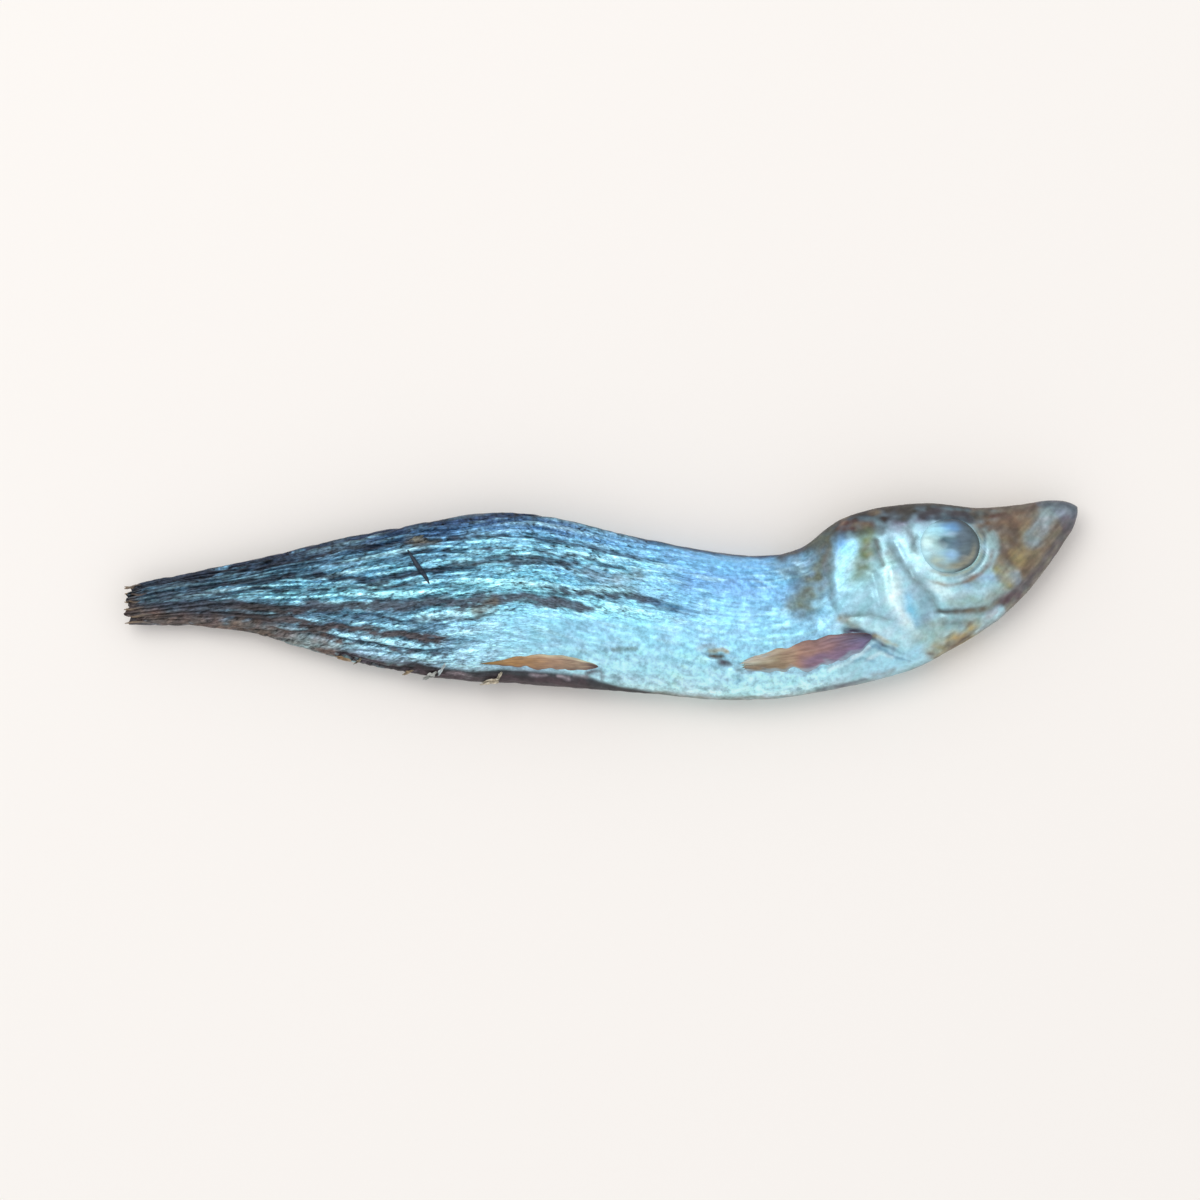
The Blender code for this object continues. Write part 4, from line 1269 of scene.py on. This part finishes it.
def tinted_colour(tree, colour, value, first, second):
    """A colour multiplied by a tint that runs from the first to the second with a value."""
    tint = add_node(tree, "ShaderNodeMix", {6: first, 7: second}, data_type="RGBA")
    value.to(tint.inputs[0])
    made = add_node(tree, "ShaderNodeMix", {0: 1.0}, data_type="RGBA", blend_type="MULTIPLY")
    tree.links.new(colour, made.inputs[6])
    tree.links.new(tint.outputs[2], made.inputs[7])
    return made.outputs[2]


def new_material(name):
    """(material, node tree, Principled shader)."""
    material = bpy.data.materials.new(name)
    material.use_nodes = True
    tree = material.node_tree
    return material, tree, tree.nodes["Principled BSDF"]


def bumped(tree, shader, height, distance, strength):
    """Fine relief on the shader, of a height in millimetres."""
    bump = add_node(tree, "ShaderNodeBump", {"Distance": distance * MM, "Strength": strength})
    height.to(bump.inputs["Height"])
    tree.links.new(bump.outputs[0], shader.inputs["Normal"])


def skin_material():
    """Silver-blue skin with fine streaks along the body, dull where it is brown, with painted glints and
    painted shade along thin crease lines in its colour.
    """
    material, tree, shader = new_material("fish_skin")
    dull, front, head = (Value(tree, attribute(tree, name, "Fac")) for name in ("dull", "front", "head"))
    flow = attribute(tree, "flow", "Vector")
    place = place_on(tree)
    streak = stretched_noise(tree, flow, (0.80, 3.0, 0.8), 3.0)
    grain = stretched_noise(tree, flow, (2.4, 5.0, 2.0), 2.0)
    # Noise for painted glints: thresholded into small bright highlights in the colour.
    painted_glint = stretched_noise(tree, flow, (1.5, 4.6, 1.5), 1.0)
    tint = stretched_noise(tree, flow, (0.5, 0.9, 0.5), 2.0)
    # Thin crease lines: they darken the colour as painted shade and dent the bump.
    off_crease = stretched_noise(tree, flow, (0.30, 2.0, 0.8), 3.0).away_from(0.5)
    cloud = stretched_noise(tree, place, (650.0, 650.0, 650.0), 3.0)
    pore = stretched_noise(tree, place, (2200.0, 2200.0, 2200.0), 2.0)

    body = front.ranged(0.0, 1.0, 1.0, 0.0)
    calm = head.ranged(0.0, 1.0, 1.0, 0.5)
    # The body's brightness: streaks and grain, painted glints as highlights, and painted shade along the thin
    # crease lines.
    body_light = streak.ranged(0.36, 0.65, -0.38, 0.44) + grain.ranged(0.37, 0.63, -0.33, 0.38)
    body_light += painted_glint.ranged(0.57, 0.68, 0.0, 0.75) + off_crease.ranged(0.0, 0.045, -0.42, 0.04)
    front_light = (cloud.ranged(0.32, 0.68, -0.20, 0.20) + pore.ranged(0.34, 0.66, -0.20, 0.22)) * calm
    light = body_light * body + front_light * front + 1.0
    toned = multiplied_colour(tree, attribute(tree, "paint", "Color"), light)
    tint = tint.ranged(0.35, 0.65, 0.0, 1.0)
    tinted = tinted_colour(tree, toned, tint, (0.90, 1.01, 1.00, 1.0), (1.02, 0.99, 1.02, 1.0))
    tree.links.new(tinted, shader.inputs["Base Color"])

    rough = grain.ranged(0.3, 0.7, 0.30, 0.44) + dull.ranged(0.0, 1.0, 0.0, 0.18)
    rough.to(shader.inputs["Roughness"])
    dull.ranged(0.0, 0.8, 0.62, 0.08).to(shader.inputs["Metallic"])
    body_height = streak * 1.8 + grain * 1.3 + off_crease.ranged(0.0, 0.06, -0.5, 0.0)
    front_height = (cloud + pore * 0.3) * calm
    bumped(tree, shader, body_height * body + front_height * front, 0.09, 0.7)
    return material


def grained_material(name, stretch, light, rough, relief):
    """(material, shader) with a fine grain in its light, roughness and relief."""
    material, tree, shader = new_material(name)
    grain = stretched_noise(tree, place_on(tree), stretch, 3.0)
    colour = multiplied_colour(tree, attribute(tree, "paint", "Color"), grain.ranged(0.3, 0.7, *light))
    tree.links.new(colour, shader.inputs["Base Color"])
    grain.ranged(0.3, 0.7, *rough).to(shader.inputs["Roughness"])
    bumped(tree, shader, grain, *relief)
    return material, shader


def eye_material():
    """A milky eyeball under a clear, wet-looking coat."""
    stretch = (900.0, 900.0, 900.0)
    material, shader = grained_material("eye", stretch, (0.9, 1.1), (0.22, 0.34), (0.05, 0.4))
    shader.inputs["Coat Weight"].default_value = 0.4
    shader.inputs["Coat Roughness"].default_value = 0.12
    return material


def fin_material():
    """Dry, slightly shiny fin membrane."""
    stretch = (700.0, 2800.0, 1500.0)
    material, shader = grained_material("fin", stretch, (0.78, 1.22), (0.34, 0.52), (0.08, 0.6))
    shader.inputs["Metallic"].default_value = 0.12
    return material


def flake_material():
    """Dry scraps of skin and the dark splinter."""
    stretch = (2400.0, 2400.0, 2400.0)
    material, _ = grained_material("flake", stretch, (0.75, 1.2), (0.45, 0.7), (0.06, 0.6))
    return material


FLOOR_COLOUR = (0.955, 0.91, 0.85)
FLOOR_SIZE = 4.0
WORLD_COLOUR = (0.95, 0.96, 1.0)
WORLD_STRENGTH = 0.78
LIGHT_PLACE = (-0.22, 0.30, 0.75)
LIGHT_SIZE = 0.55
LIGHT_POWER = 2.3
LENS = 200.0
SENSOR = 36.0
FRAME_FILL = 0.80  # of the frame's width that the fish takes


def build_floor():
    """A plain pale floor under the fish."""
    material, tree, shader = new_material("floor")
    shader.inputs["Base Color"].default_value = (*FLOOR_COLOUR, 1.0)
    shader.inputs["Roughness"].default_value = 0.9
    shader.inputs["Specular IOR Level"].default_value = 0.1
    half = FLOOR_SIZE / 2
    corners = [(-half, -half, 0.0), (half, -half, 0.0), (half, half, 0.0), (-half, half, 0.0)]
    data = bpy.data.meshes.new("floor")
    data.from_pydata(corners, [], [(0, 1, 2, 3)])
    data.materials.append(material)
    floor = bpy.data.objects.new("floor", data)
    floor.location.z = cad_low.z
    bpy.context.scene.collection.objects.link(floor)


def build_lights():
    """A large soft light above the back and a pale surround."""
    world = bpy.data.worlds.new("surround")
    bpy.context.scene.world = world
    world.use_nodes = True
    background = world.node_tree.nodes["Background"]
    background.inputs["Color"].default_value = (*WORLD_COLOUR, 1.0)
    background.inputs["Strength"].default_value = WORLD_STRENGTH
    data = bpy.data.lights.new("overhead", "AREA")
    data.size = LIGHT_SIZE
    data.energy = LIGHT_POWER
    light = bpy.data.objects.new("overhead", data)
    light.location = LIGHT_PLACE
    light.rotation_mode = "QUATERNION"
    light.rotation_quaternion = Vector(LIGHT_PLACE).to_track_quat("Z", "Y")
    bpy.context.scene.collection.objects.link(light)


def build_camera():
    """A camera straight above the fish."""
    data = bpy.data.cameras.new("camera")
    data.lens = LENS
    data.sensor_width = SENSOR
    camera = bpy.data.objects.new("camera", data)
    middle = (cad_low + cad_high) / 2
    across = (cad_high.x - cad_low.x) / FRAME_FILL
    camera.location = (middle.x, middle.y, cad_high.z + across * LENS / SENSOR)
    data.clip_start = 0.01
    data.clip_end = 10.0
    bpy.context.scene.collection.objects.link(camera)
    bpy.context.scene.camera = camera


build_camera()
skin_tree = build_skin(skin_material())
eyes, fins, flakes = eye_material(), fin_material(), flake_material()
for facing in (1, -1):
    build_eye(skin_tree, facing, eyes)
    for fin_kind in FINS:
        build_fin(skin_tree, fin_kind, facing, fins)
    build_tail_rays(skin_tree, facing, flakes)
for scrap in FLAKES:
    build_flake(skin_tree, flakes, *scrap)
build_splinter(skin_tree, flakes)
build_floor()
build_lights()
bpy.context.scene.view_settings.view_transform = "Standard"
